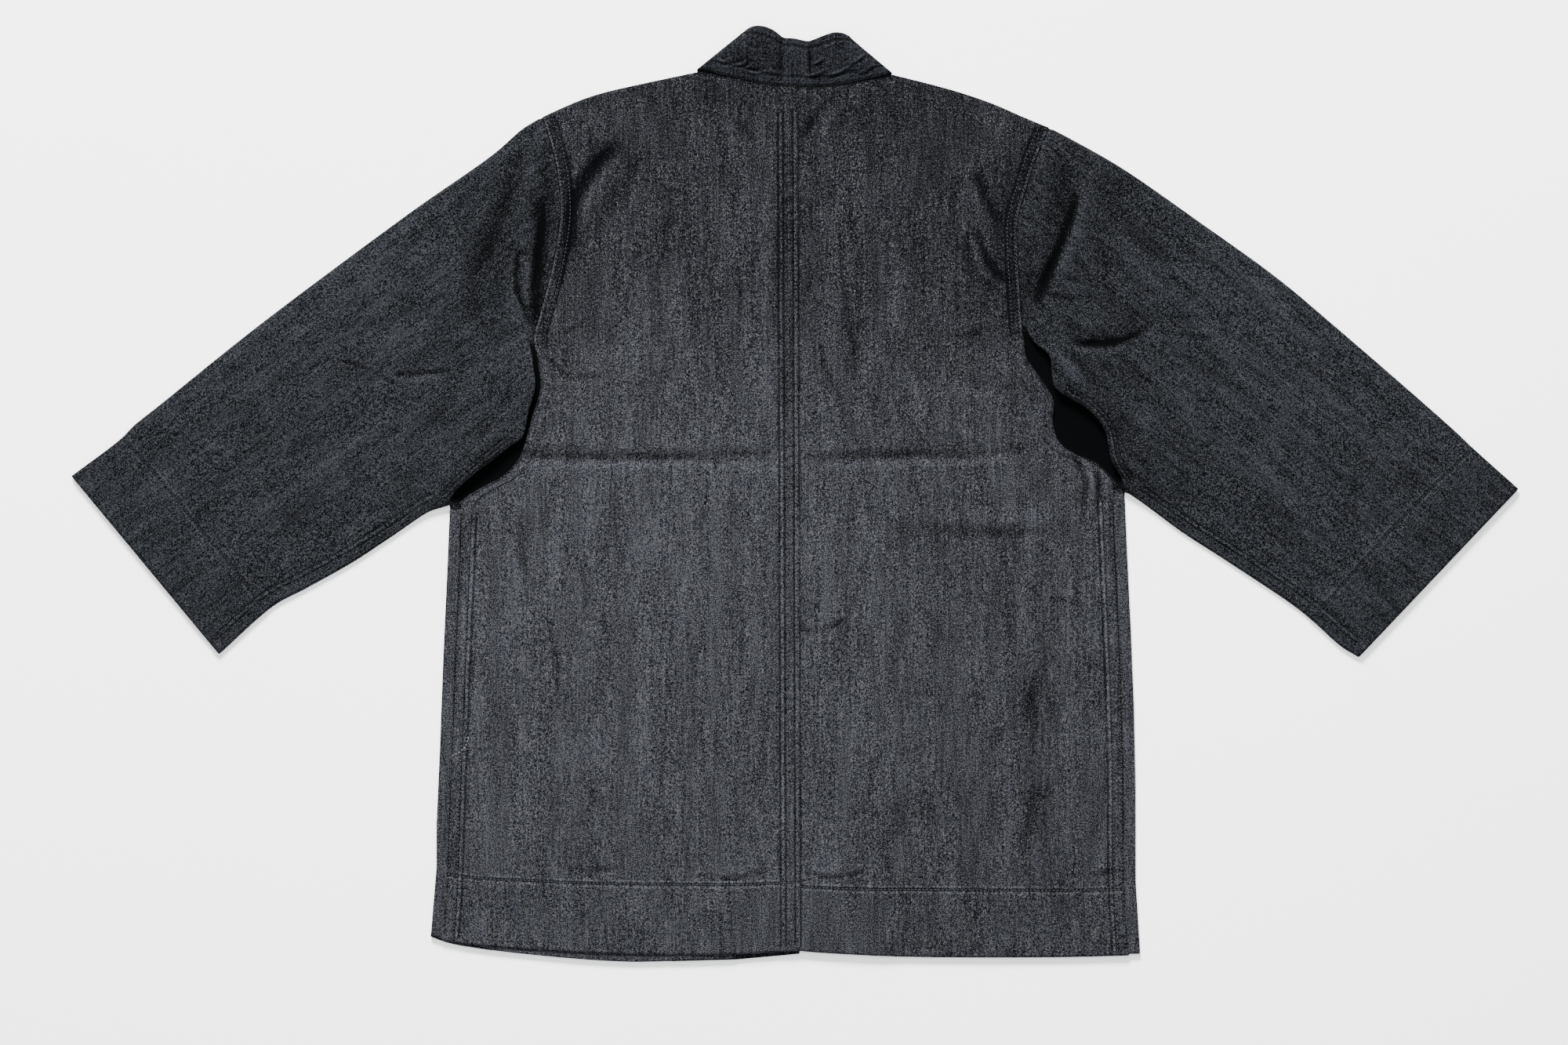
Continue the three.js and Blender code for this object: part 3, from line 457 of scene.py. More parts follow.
# The long slack ripples that every laid-out panel has, as x, y at the top,
# x, y at the foot, half-width and height.
BODY_RIPPLES = (
    (-268, -40, -274, -330, 7, 0.55),
    (-246, 0, -250, -180, 8, 0.5),
    (-226, -60, -232, -370, 9, 0.5),
    (-206, 60, -206, -110, 8, 0.45),
    (-172, 90, -176, -80, 9, 0.5),
    (-160, -140, -158, -380, 8, 0.45),
    (-140, 180, -146, 20, 9, 0.45),
    (-128, -20, -126, -300, 8, 0.4),
    (-96, 250, -98, 60, 9, 0.5),
    (-74, 40, -72, -200, 8, 0.45),
    (-62, -220, -58, -385, 8, 0.4),
    (-36, 10, -34, -250, 7, 0.4),
    (24, 20, 26, -180, 7, 0.4),
    (46, -160, 50, -380, 8, 0.45),
    (72, 60, 70, -210, 8, 0.45),
    (84, 280, 88, 80, 9, 0.5),
    (110, 10, 112, -260, 8, 0.45),
    (126, 240, 136, 60, 9, 0.45),
    (134, -250, 138, -385, 8, 0.4),
    (160, 20, 158, -220, 8, 0.5),
    (184, -140, 184, -380, 8, 0.5),
    (206, 0, 204, -160, 8, 0.45),
    (232, -20, 236, -350, 8, 0.55),
    (252, 0, 256, -240, 7, 0.5),
)
# Creases of the sleeves, the wearer's left first.
SLEEVE_CREASES = creases(
    (4.2, -3.8, 0, -213, 264, -217, 240, -220.5, 205, -223, 175, -227, 140),
    (4, -1.2, 0, -226, 262, -224, 240, -227, 222),
    (3.6, 1.7, 0, -231, 205, -229.5, 177.5, -231, 152),
    (1.9, -2.3, 0, -227.5, 206.5, -237, 207, -240, 192, -239, 175, -233, 160, -226, 144),
    (9, -1.2, 0.3, -238, 296, -252, 250, -270, 200),
    (6, 0.9, 0, -226, 300, -232, 262, -250, 225),
    (10, -1.4, 0.3, -256, 234, -276, 187, -274, 139.5),
    (1.7, -2.6, 0, -348, 102, -326, 104, -296, 107),
    (3, 0.8, 0, -342, 96, -320, 97, -292, 99),
    (3, -0.6, 0, -290, 111, -262, 114, -240, 112),
    (1.5, -1.1, 0.5, -400, 116, -374.5, 110.5, -351, 98.5, -334, 91.5),
    (5, -0.8, 0.4, -239.5, 101.5, -263, 59, -291.5, 45),
    (8, -0.7, 0, -277.5, 120.5, -258.5, 83),
    (7, 0.9, 0, -262, 132, -278, 96, -300, 68),
    (8, 0.8, 0.4, -292, 90, -330, 60, -350, 20),
    (8, 0.6, 0.4, -420, 60, -400, 30, -392, -10),
    (9, 0.5, -0.4, -470, 110, -450, 60, -440, 10),
    (8, 0.5, 0.4, -560, 40, -530, -10, -505, -60),
    (7, 0.6, 0.4, -330, 215, -390, 165, -460, 110),
    (7, 0.6, 0.4, -350, 60, -420, 10, -480, -50),
    (7, 0.55, -0.4, -300, 150, -360, 130, -430, 85),
    (6, 0.45, 0.4, -400, 185, -470, 128, -560, 55),
    (3.6, -3.4, 0, 244, 262, 237, 236, 224, 203, 215, 182, 206, 158),
    (3.6, 1.5, 0, 214, 226, 209, 200, 204, 172),
    (2.0, -2.4, 0, 206, 226, 201, 204, 200, 176, 199.5, 152),
    (5.5, 1.6, 0, 251, 262, 245, 228, 234, 200, 226, 182),
    (6, 0.8, 0, 224, 285, 214, 245, 207, 215),
    (2.6, -3.8, 0, 232, 130, 256, 129.5, 282, 133, 306, 144),
    (4, 1.0, 0, 240, 122.5, 264, 121, 290, 126),
    (5, 0.7, 0, 246, 146, 270, 143, 292, 152),
    (1.5, -1.0, 0.5, 306, 140, 329, 138, 360, 135, 374, 142),
    (2.4, -0.6, 0.5, 310, 152, 345, 152.5, 368.5, 152, 380, 158),
    (2.4, -1.5, 0.5, 213.6, 175, 229, 169, 244.7, 167),
    (2.8, -0.8, 0.5, 222, 190, 236, 184, 250, 184),
    (2.8, -1.0, 0.5, 229, 154, 236, 147, 244.7, 140),
    (4.5, 1.4, 0, 219, 124, 232, 112, 246, 92),
    (4, -0.9, 0, 232, 124, 246, 112, 262, 88),
    (7, 0.9, -0.4, 272, 100, 292, 72, 306, 38),
    (8, 0.8, -0.4, 300, 112, 330, 84, 352, 44),
    (8, 0.9, 0.4, 262, 232, 300, 196, 330, 150),
    (7, 0.6, 0.4, 340, 220, 400, 172, 470, 112),
    (7, 0.6, -0.4, 350, 60, 420, 0, 470, -60),
    (7, 0.55, 0.4, 310, 170, 372, 130, 440, 78),
    (8, 0.6, 0.4, 430, 80, 410, 40, 402, -10),
    (8, 0.5, -0.4, 520, 60, 500, 10, 480, -40),
    (8, 0.5, 0.4, 570, 30, 540, -20, 512, -60),
)
# Broad painted shade and painted highlights on the cloth's tone, each along a line, with the
# change as its height.
SLEEVE_PAINTED_SHADING = creases(
    (8, -0.34, 0, -218, 316, -213, 262, -220, 200, -227, 138),
    (5, -0.3, 0, -214, 258, -220, 205, -226, 142),
    (3.4, -0.5, 0, -217.5, 240, -220, 200, -223, 160, -225.5, 142),
    (2.4, -0.24, 0, -228, 206.5, -237, 206.5, -239.5, 192, -238.5, 175, -233, 160, -226, 144),
    (4, 0.13, 0, -240, 212, -246.5, 190, -246, 165, -236, 142),
    (13, -0.25, 0, -234, 310, -247, 237, -255.5, 194, -260, 150, -262, 118),
    (10, -0.09, 0, -283, 118, -296, 92, -312, 60),
    (14, 0.08, 0, -235, 130, -255, 105, -272, 78),
    (4, 0.12, 0, -229, 208, -229, 180, -231, 150),
    (40, 0.05, 0, -350, 190, -450, 110),
    (12, -0.08, 0, -240, 70, -310, 5, -400, -70),
    (13, -0.3, 0, 232, 306, 228, 260, 214, 219, 203, 183, 201, 150),
    (5, -0.36, 0, 242, 256, 229, 219, 217, 189, 208, 162),
    (14, -0.16, 0, 272, 290, 274, 250, 264, 215, 275, 175),
    (14, -0.08, 0, 268, 150, 275, 120, 285, 80),
    (7, 0.07, 0, 248, 252, 240, 220, 228, 186),
    (8, -0.12, 0, 250, 142, 276, 144, 306, 152),
    (2.8, -0.34, 0, 241, 130, 267, 131, 291, 137, 305, 147),
    (12, 0.05, 0, 240, 116, 262, 104, 282, 70),
    (40, 0.05, 0, 330, 200, 400, 130, 470, 60),
    (30, -0.05, 0, 560, -20, 510, -100),
    (12, -0.08, 0, 262, 96, 300, 10, 370, -50),
)
# Broad painted shade and highlights on the body's tone, each along a line.
BODY_PAINTED_SHADING = creases(
    (12, -0.12, 0, -206, 325, -194, 250, -204, 160),
    (9, -0.16, 0, -150, 306, -176, 280, -190, 245, -193, 205),
    (15, -0.12, 0, 205, 318, 186, 250, 190, 150),
    (20, -0.05, 0, 170, 250, 172, 200, 185, 130),
    (26, -0.03, 0, 0, 345, 0, 200),
    (26, -0.09, 0, -110, 352, 0, 336, 110, 350),
    (70, -0.045, 0, -170, 290, -50, 290),
    (30, -0.04, 0, 150, 330, 60, 350),
    (22, -0.05, 0, -150, 335, -60, 355),
    (60, 0.035, 0, -160, -60, -60, -60),
    (24, -0.04, 0, 90, -40, 240, -40),
    (30, -0.045, 0, 205, -120, 190, -300),
    (40, 0.02, 0, 60, -150, 70, -330),
)
# The collar's humps and the short zigzag puckers of its raised part.
COLLAR_CREASES = creases(
    (1.4, -1.3, 0.0, -12.5, 394, -12, 375, -12.5, 354),
    (1.4, -1.4, 0.0, 12.8, 392, 13, 372, 12.6, 353),
    (1.1, 0.9, 0.8, -66.8, 375.5, -62, 372.5, -56.4, 374.5),
    (1.1, 1.0, 0.8, -59.6, 368, -50, 369, -40.3, 373),
    (1.1, 0.9, 0.8, -52.3, 366.4, -44, 366.5, -35.5, 370.5),
    (1.1, 1.0, 0.8, -45.9, 366, -34, 363, -21, 364.8),
    (1.1, 0.8, 0.8, -23.4, 366.6, -17, 363.6, -10.7, 364.6),
    (1.4, 0.4, 0.6, -46, 388, -36, 382, -26, 383),
    (1.1, 0.9, -0.8, 11.4, 369.4, 18, 371, 26.3, 375.6),
    (1.1, 0.9, -0.8, 9.8, 359.6, 19, 362, 29.5, 366.6),
    (1.1, 1.0, -0.8, 26, 359.8, 37, 362.5, 48.8, 369.2),
    (1.1, 0.9, -0.8, 45.8, 369.5, 53, 373, 62.2, 379.9),
    (1.1, 0.9, -0.8, 52.6, 363, 61, 365, 70, 370.6),
    (1.4, 0.4, -0.6, 24, 384, 31, 386, 37, 390),
)

# ---- Plan lines and heights ---------------------------------------------------


def smoothstep(value: Array | float, low: float, high: float) -> Array:
    """Rises smoothly from 0 at low to 1 at high."""
    share = np.clip((np.asarray(value, float) - low) / (high - low), 0, 1)
    return share * share * (3 - 2 * share)


def mix(first: Array | float, second: Array | float, share: Array | float) -> Array:
    """Goes straight from the first value to the second."""
    return first + (second - first) * share


def even_stops(stops: Sequence[float], steps: Sequence[float]) -> Array:
    """Places stops evenly between named ones.

    Args:
        stops: The named stops, rising.
        steps: The largest step allowed in each stretch between two of them.

    Returns:
        All the stops, the named ones among them.
    """
    stretches = []
    for low, high, step in zip(stops, stops[1:], steps):
        count = max(1, math.ceil((high - low) / step))
        stretches.append(np.linspace(low, high, count, endpoint=False))
    return np.append(np.concatenate(stretches), stops[-1])


@dataclass(frozen=True)
class PlanLine:
    """A smooth line on the plan through a table's rows."""

    rows: Array
    SAMPLES = 24

    @classmethod
    def through(cls, rows: Sequence[Sequence[float]]) -> "PlanLine":
        """The line through any list of (x, y) rows."""
        return cls(np.array([row[:2] for row in rows], float))

    def at_rows(self, places: Array) -> Array:
        """Gives points at places counted in rows.

        Args:
            places: Row numbers, whole or between two rows.

        Returns:
            The points, on a centripetal Catmull-Rom spline.
        """
        first = 2 * self.rows[0] - self.rows[1]
        final = 2 * self.rows[-1] - self.rows[-2]
        points = np.vstack([first, self.rows, final])
        index = np.clip(np.floor(places).astype(int), 0, len(self.rows) - 2)
        t = (np.asarray(places) - index)[:, None]
        p0, p1, p2, p3 = (points[index + k] for k in range(4))
        pairs = ((p0, p1), (p1, p2), (p2, p3))
        d0, d1, d2 = (np.sqrt(np.linalg.norm(b - a, axis=1))[:, None] for a, b in pairs)
        m1 = ((p1 - p0) / d0 - (p2 - p0) / (d0 + d1) + (p2 - p1) / d1) * d1
        m2 = ((p2 - p1) / d1 - (p3 - p1) / (d1 + d2) + (p3 - p2) / d2) * d1
        cubic = 2 * p1 - 2 * p2 + m1 + m2
        square = -3 * p1 + 3 * p2 - 2 * m1 - m2
        return p1 + m1 * t + square * t**2 + cubic * t**3

    def dense(self) -> Array:
        """Closely spaced points along the whole line."""
        count = (len(self.rows) - 1) * self.SAMPLES + 1
        return self.at_rows(np.linspace(0, len(self.rows) - 1, count))

    def length(self) -> float:
        """The length of the whole line."""
        return total_length(self.dense())


def lengths_along(points: Array) -> Array:
    """How far along a list of points each one lies."""
    steps = np.linalg.norm(np.diff(points, axis=0), axis=1)
    return np.concatenate([[0.0], np.cumsum(steps)])


def total_length(points: Array) -> float:
    """The length of a list of points."""
    return float(lengths_along(points)[-1])


def along(points: Array, shares: Array) -> Array:
    """Walks along a list of points.

    Args:
        points: The points, in order.
        shares: Shares of their whole length.

    Returns:
        A point for each share.
    """
    lengths = lengths_along(points)
    places = np.asarray(shares) * lengths[-1]
    return np.stack([np.interp(places, lengths, values) for values in points.T], axis=1)


def boundary(tables: Sequence[Sequence[Sequence[float]]], shares: Array) -> Array:
    """Points at shares of a boundary that may turn a corner between tables."""
    dense = [PlanLine.through(rows).dense() for rows in tables]
    return along(np.vstack([dense[0], *(line[1:] for line in dense[1:])]), shares)


def crossing_at(rows: Sequence[Sequence[float]], y: Array) -> Array:
    """The x of a line that runs up the jacket, at given heights on the plan."""
    table = np.array([row[:2] for row in rows], float)
    return np.interp(y, table[:, 1], table[:, 0])


def moved_sideways(points: Array, distances: Array | float) -> Array:
    """Moves a plan line square to itself.

    Args:
        points: The line's points.
        distances: How far to move them, to the left as the line runs.

    Returns:
        The moved points.
    """
    tangent = np.gradient(points, axis=0)
    tangent /= np.linalg.norm(tangent, axis=1)[:, None]
    square = np.stack([-tangent[:, 1], tangent[:, 0]], axis=1)
    return points + square * np.broadcast_to(distances, len(points))[:, None]


def patch(start: Array, end: Array, low: Array, high: Array, us: Array, vs: Array) -> Array:
    """Fills four boundaries with a grid.

    Args:
        start: A point for each row, at the first column.
        end: A point for each row, at the last column.
        low: A point for each column, at share 0 of the rows.
        high: A point for each column, at share 1 of the rows.
        us: The columns' shares.
        vs: The rows' shares.

    Returns:
        The grid's points, by row and column.
    """
    u = us[None, :, None]
    v = vs[:, None, None]
    grid = start[:, None] * (1 - u) + end[:, None] * u + low[None] * (1 - v) + high[None] * v
    grid -= low[0] * (1 - u) * (1 - v) + low[-1] * u * (1 - v)
    grid -= high[0] * (1 - u) * v + high[-1] * u * v
    return grid


def nearest_on(line: Array, points: Array) -> tuple[Array, Array]:
    """Finds where points lie beside a line.

    Args:
        line: The line's points.
        points: The points to place.

    Returns:
        Each point's distance from the line, above zero on its left, and the
        length along the line of the nearest place.
    """
    best = np.full(len(points), np.inf)
    signed = np.zeros(len(points))
    place = np.zeros(len(points))
    lengths = lengths_along(line)
    for k, (a, b) in enumerate(zip(line, line[1:])):
        step = b - a
        length = max(float(np.linalg.norm(step)), 1e-9)
        offset = points - a
        t = np.clip(offset @ step / length**2, 0, 1)
        distance = np.linalg.norm(offset - t[:, None] * step, axis=1)
        closer = distance < best
        best[closer] = distance[closer]
        side = np.sign(step[0] * offset[:, 1] - step[1] * offset[:, 0])
        signed[closer] = (distance * side)[closer]
        place[closer] = (lengths[k] + t * length)[closer]
    return signed, place


def beside_rows(line: Array, points: Array) -> Array:
    """Finds how far points lie from the middle of some rows of stitches.

    Args:
        line: The middle of the rows.
        points: The points to place.

    Returns:
        Each point's distance, above zero on the line's left, and NO_ROW past its ends.
    """
    signed, place = nearest_on(line, points)
    past = (place <= 0) | (place >= lengths_along(line)[-1])
    return np.where(past & (np.abs(signed) > 2), NO_ROW, signed)


def crease_shade(creased: Array) -> Array:
    """How creases change the tone: painted shade in a trough, a little painted highlight on a
    ridge.
    """
    return np.where(creased < 0, 0.2 * creased, 0.1 * creased)


@dataclass(frozen=True)
class Pucker:
    """Small gathers along a line of stitches, and the groove that they pull."""

    line: Array
    depth: float = 0.3
    spacing: float = 9.0
    reach: float = 9.0
    slant: float = 0.35
    groove: float = 0.35
    GROOVE_WIDTH = 1.7

    def heights(self, points: Array) -> Array:
        """Finds what the gathers add to the height.

        Args:
            points: Plan points.

        Returns:
            The change at each, with gathers that wander and come and go along the line.
        """
        signed, place = nearest_on(self.line, points)
        wander = 2.2 * np.sin(place / 23) + 1.3 * np.sin(place / 9.1 + 1)
        waves = np.sin(2 * math.pi * (place + self.slant * signed) / self.spacing + wander)
        strength = 0.6 + 0.4 * np.sin(place / 37 + self.spacing)
        gathers = self.depth * strength * waves * np.exp(-((signed / self.reach) ** 2))
        return gathers - self.groove * np.exp(-((signed / self.GROOVE_WIDTH) ** 2))


@dataclass
class ClothSurface:
    """The height of a cloth's face over the plan, with its folds and creases."""

    height: float
    over_band: bool
    folds: tuple[Crease, ...]
    creases: tuple[Crease, ...]
    # broad painted shade and highlights on the tone, each along a line
    painted_shades: tuple[Crease, ...] = ()
    puckers: list[Pucker] = field(default_factory=list)
    REACH = 3.5  # half-widths beyond which a crease adds nothing
    STRENGTH = 1.25
    LEAN_PLACE = 1.7  # half-widths from a leaning crease to where it sinks beside
    LEAN_WIDTH = 1.4
    TAPER = 0.7
    UNEVEN = 0.3  # how much a crease's height changes along it

    def folded(self, points: Array) -> Array:
        """Finds the height with the largest folds alone, as in the CAD model.

        Args:
            points: Plan points.

        Returns:
            The height at each.
        """
        total = np.full(len(points), self.height)
        if self.over_band:
            total += BAND_LIFT * (1 - smoothstep(np.abs(points[:, 0]), *BAND_REACH))
        for crease in self.folds:
            total += self._crease(crease, points, 0)
        return total

    def creased(self, points: Array) -> Array:
        """Finds what the creases and seam puckers add to the largest folds.

        Args:
            points: Plan points.

        Returns:
            The change of the height at each.
        """
        total = np.zeros(len(points))
        for number, crease in enumerate(self.creases):
            total += self.STRENGTH * self._crease(crease, points, number + 1)
        for pucker in self.puckers:
            near = self._near(pucker.line, points, 3 * pucker.reach)
            total[near] += pucker.heights(points[near])
        return total

    def painted_shading(self, points: Array) -> Array:
        """What the broad painted shade and highlights add to the cloth's tone."""
        painted_shades = (self._crease(tone_and_painted_shade, points, 0) for tone_and_painted_shade in self.painted_shades)
        return sum(painted_shades, np.zeros(len(points)))

    @staticmethod
    def _near(line: Array, points: Array, reach: float) -> NDArray[np.bool_]:
        """Finds the points that a line may reach.

        Args:
            line: The line's points.
            points: Plan points.
            reach: How far it reaches.

        Returns:
            Whether each lies in the line's box, grown by its reach.
        """
        low = line.min(axis=0) - reach
        high = line.max(axis=0) + reach
        return np.all((points >= low) & (points <= high), axis=1)

    def _crease(self, crease: Crease, points: Array, number: int) -> Array:
        """Finds what one crease adds.

        Args:
            crease: The crease.
            points: Plan points.
            number: Its number, which its unevenness depends on.

        Returns:
            The change at each point.
        """
        line = PlanLine.through(crease.line)
        dense = line.dense()[::4] if crease.tapered else line.rows
        reach = self.REACH * crease.half_width * (2 if crease.lean else 1)
        near = self._near(dense, points, reach)
        signed, place = nearest_on(dense, points[near])
        share = place / lengths_along(dense)[-1]
        profile = np.exp(-((signed / crease.half_width) ** 2))
        if crease.lean:
            side = math.copysign(self.LEAN_PLACE, crease.lean) * crease.half_width
            beside = np.exp(-(((signed - side) / (self.LEAN_WIDTH * crease.half_width)) ** 2))
            profile -= abs(crease.lean) * beside
        if crease.tapered:
            profile *= np.sin(math.pi * np.clip(share, 0.0, 1.0)) ** self.TAPER
            profile *= 1 + self.UNEVEN * np.sin(9 * share + 1.7 * number)
        total = np.zeros(len(points))
        total[near] = crease.height * profile
        return total


def ripples(rows: Rows) -> tuple[Crease, ...]:
    """Makes long slack ripples, each bent a little so that no two run alike.

    Args:
        rows: The x and y of both ends, the half-width and the height of each.

    Returns:
        The ripples as creases.
    """
    made = []
    for number, (x, y, to_x, to_y, half_width, height) in enumerate(rows):
        bow = 6 * math.sin(2.3 * number)
        middle = ((x + to_x) / 2 + bow, (y + to_y) / 2)
        made.append(Crease(((x, y), middle, (to_x, to_y)), half_width, height, 0.25))
    return tuple(made)


# ---- Meshes -------------------------------------------------------------------

# The first mark is the cloth's tone, carrying painted shade and highlights.
MARKS = ("fade", "lengthwise", "crosswise", "armhole", "rolled")


def marks_of(fade: Array, **rows: Array) -> Array:
    """Stacks what the finishes read on each point.

    Args:
        fade: The cloth's tone, around 0.5, with painted shade and highlights added to it.
        **rows: Distance from the middle of the named rows of stitches.

    Returns:
        One layer for each name in MARKS, far from any row where it isn't given.
    """
    layers = [fade] + [rows.get(name, np.full(fade.shape, NO_ROW)) for name in MARKS[1:]]
    return np.stack(layers, axis=-1)


@dataclass
class ClothGrid:
    """A grid of points on a cloth's face, with the marks of each.

    side is 1 or -1, for the way that the grid faces, and a round grid joins
    its last column to its first.
    """

    points: Array
    relief: Array
    marks: Array
    side: int
    thickness: float | Array = CLOTH
    round: bool = False
    LIP_BULGE = 0.35
    LIP_POINTS = 4  # that the turned-back edge adds at each end
    TURN_POINTS = 5  # round a folded strip's free edge
    TURN_BULGE = 0.6

    def _normals(self) -> Array:
        """Works out the face's normals.

        Returns:
            A normal for each row and column.
        """
        if self.round:
            around = [self.points[:, -1:], self.points, self.points[:, :1]]
            wrapped = np.concatenate(around, axis=1)
            across = np.gradient(wrapped, axis=1)[:, 1:-1]
        else:
            across = np.gradient(self.points, axis=1)
        normals = np.cross(across, np.gradient(self.points, axis=0))
        lengths = np.linalg.norm(normals, axis=2, keepdims=True)
        return self.side * normals / np.maximum(lengths, 1e-9)

    @staticmethod
    def _lipped(face: Array, inside: Array, axis: int, bulge: float) -> Array:
        """Adds the turned-back edge at both ends of an axis.

        Args:
            face: The face's points.
            inside: The points under them, on the cloth's other face.
            axis: 0 for the first and last row, 1 for the columns.
            bulge: How far the rounded edge stands out.

        Returns:
            The face's points, with the edge's before and after them.
        """
        face = np.moveaxis(face, axis, 0)
        inside = np.moveaxis(inside, axis, 0)
        ends = []
        for edge, inner, step in ((0, LIP, 1), (-1, -1 - LIP, -2)):
            outward = face[edge] - face[step]
            length = np.linalg.norm(outward, axis=-1, keepdims=True)
            rounded = (face[edge] + inside[edge]) / 2 + bulge * outward / np.maximum(length, 1e-9)
            near = mix(inside[edge], inside[step], 0.25)
            ends.append([inside[inner], near, inside[edge], rounded])
        joined = np.concatenate([np.array(ends[0]), face, np.array(ends[1])[::-1]])
        return np.moveaxis(joined, 0, axis)

    def shell(self) -> tuple[Array, NDArray[np.int64], Array]:
        """Makes the thin shell that shows, with its edges turned back.

        Returns:
            The vertices, the quads and each vertex's marks.
        """
        normals = self._normals()
        face = self.points + normals * self.relief[..., None]
        inside = self.points - normals * self.thickness
        bulge = self.LIP_BULGE * CLOTH
        marks = self.marks
        if not self.round:
            across_inside = self._lipped(inside, inside, 1, 0.0)
            face = self._lipped(face, inside, 1, bulge)
            marks = np.pad(marks, ((0, 0), (self.LIP_POINTS,) * 2, (0, 0)), mode="edge")
            inside = across_inside
        face = self._lipped(face, inside, 0, bulge)
        marks = np.pad(marks, ((self.LIP_POINTS,) * 2, (0, 0), (0, 0)), mode="edge")
        return face.reshape(-1, 3), self._quads(*marks.shape[:2]), marks.reshape(-1, len(MARKS))

    def folded_strip(self) -> tuple[Array, NDArray[np.int64], Array]:
        """Makes a strip folded double, open only where it is sewn.

        Returns:
            The vertices, the quads and each vertex's marks.
        """
        normals = self._normals()
        inside = self.points - normals * self.thickness
        middle = self.points - normals * (self.thickness / 2)
        outward = middle[:, -1] - middle[:, -2]
        outward /= np.linalg.norm(outward, axis=1, keepdims=True)
        turn = []
        radius = self.thickness / 2
        for angle in np.linspace(0, math.pi, self.TURN_POINTS + 2)[1:-1]:
            up = normals[:, -1] * radius * math.cos(angle)
            out = outward * radius * self.TURN_BULGE * math.sin(angle)
            turn.append(middle[:, -1] + up + out)
        turned = np.stack(turn, axis=1)
        loop = [middle[:, :1], self.points, turned, inside[:, ::-1], middle[:, :1]]
        points = np.concatenate(loop, axis=1)
        flat = [middle[:, :1], middle, turned * 0 + middle[:, -1:], middle[:, ::-1], middle[:, :1]]
        ends = np.concatenate(flat, axis=1)
        points = np.concatenate([ends[:1], points, ends[-1:]])
        at_turn = np.repeat(self.marks[:, -1:], self.TURN_POINTS, axis=1)
        around = [self.marks[:, :1], self.marks, at_turn, self.marks[:, ::-1], self.marks[:, :1]]
        marks = np.concatenate(around, axis=1)
        marks = np.pad(marks, ((1, 1), (0, 0), (0, 0)), mode="edge")
        return points.reshape(-1, 3), self._quads(*marks.shape[:2]), marks.reshape(-1, len(MARKS))

    def _quads(self, row_count: int, column_count: int) -> NDArray[np.int64]:
        """Joins the vertices in quads that face out.

        Args:
            row_count: How many rows of vertices there are.
            column_count: How many columns.

        Returns:
            Four vertex numbers for each quad.
        """
        index = np.arange(row_count * column_count).reshape(row_count, column_count)
        if self.round:
            index = np.concatenate([index, index[:, :1]], axis=1)
        corners = [index[:-1, :-1], index[:-1, 1:], index[1:, 1:], index[1:, :-1]]
        quads = np.stack(corners, axis=-1).reshape(-1, 4)
        return quads if self.side > 0 else quads[:, ::-1]


def mesh_object(
    name: str, vertices: Array, faces: Sequence[Sequence[int]] | Array, marks: Array | None = None
) -> Piece:
    """Makes a smooth mesh object from millimetres.

    Args:
        name: The object's name.
        vertices: Points in millimetres.
        faces: Vertex numbers of each face.
        marks: What the finishes read on each vertex, in the order of MARKS.

    Returns:
        The new object, in the scene and in metres.
    """
    mesh = bpy.data.meshes.new(name)
    mesh.from_pydata((vertices * MM).tolist(), [], [list(map(int, face)) for face in faces])
    if marks is not None:
        for number, mark in enumerate(MARKS):
            attribute = mesh.attributes.new(mark, "FLOAT", "POINT")
            attribute.data.foreach_set("value", marks[:, number].astype(np.float32))
    mesh.shade_smooth()
    mesh.update()
    made = bpy.data.objects.new(name, mesh)
    bpy.context.scene.collection.objects.link(made)
    return made


def cloth_object(name: str, *grids: ClothGrid, folded: bool = False) -> Piece:
    """Makes one object from the shells of some grids.

    Args:
        name: The object's name.
        *grids: The grids.
        folded: Whether each is a strip folded double.

    Returns:
        The new object.
    """
    vertices, faces, marks = [], [], []
    count = 0
    for grid in grids:
        points, quads, point_marks = grid.folded_strip() if folded else grid.shell()
        vertices.append(points)
        faces.append(quads + count)
        marks.append(point_marks)
        count += len(points)
    return mesh_object(name, np.vstack(vertices), np.vstack(faces), np.vstack(marks))


# ---- Finishes -----------------------------------------------------------------


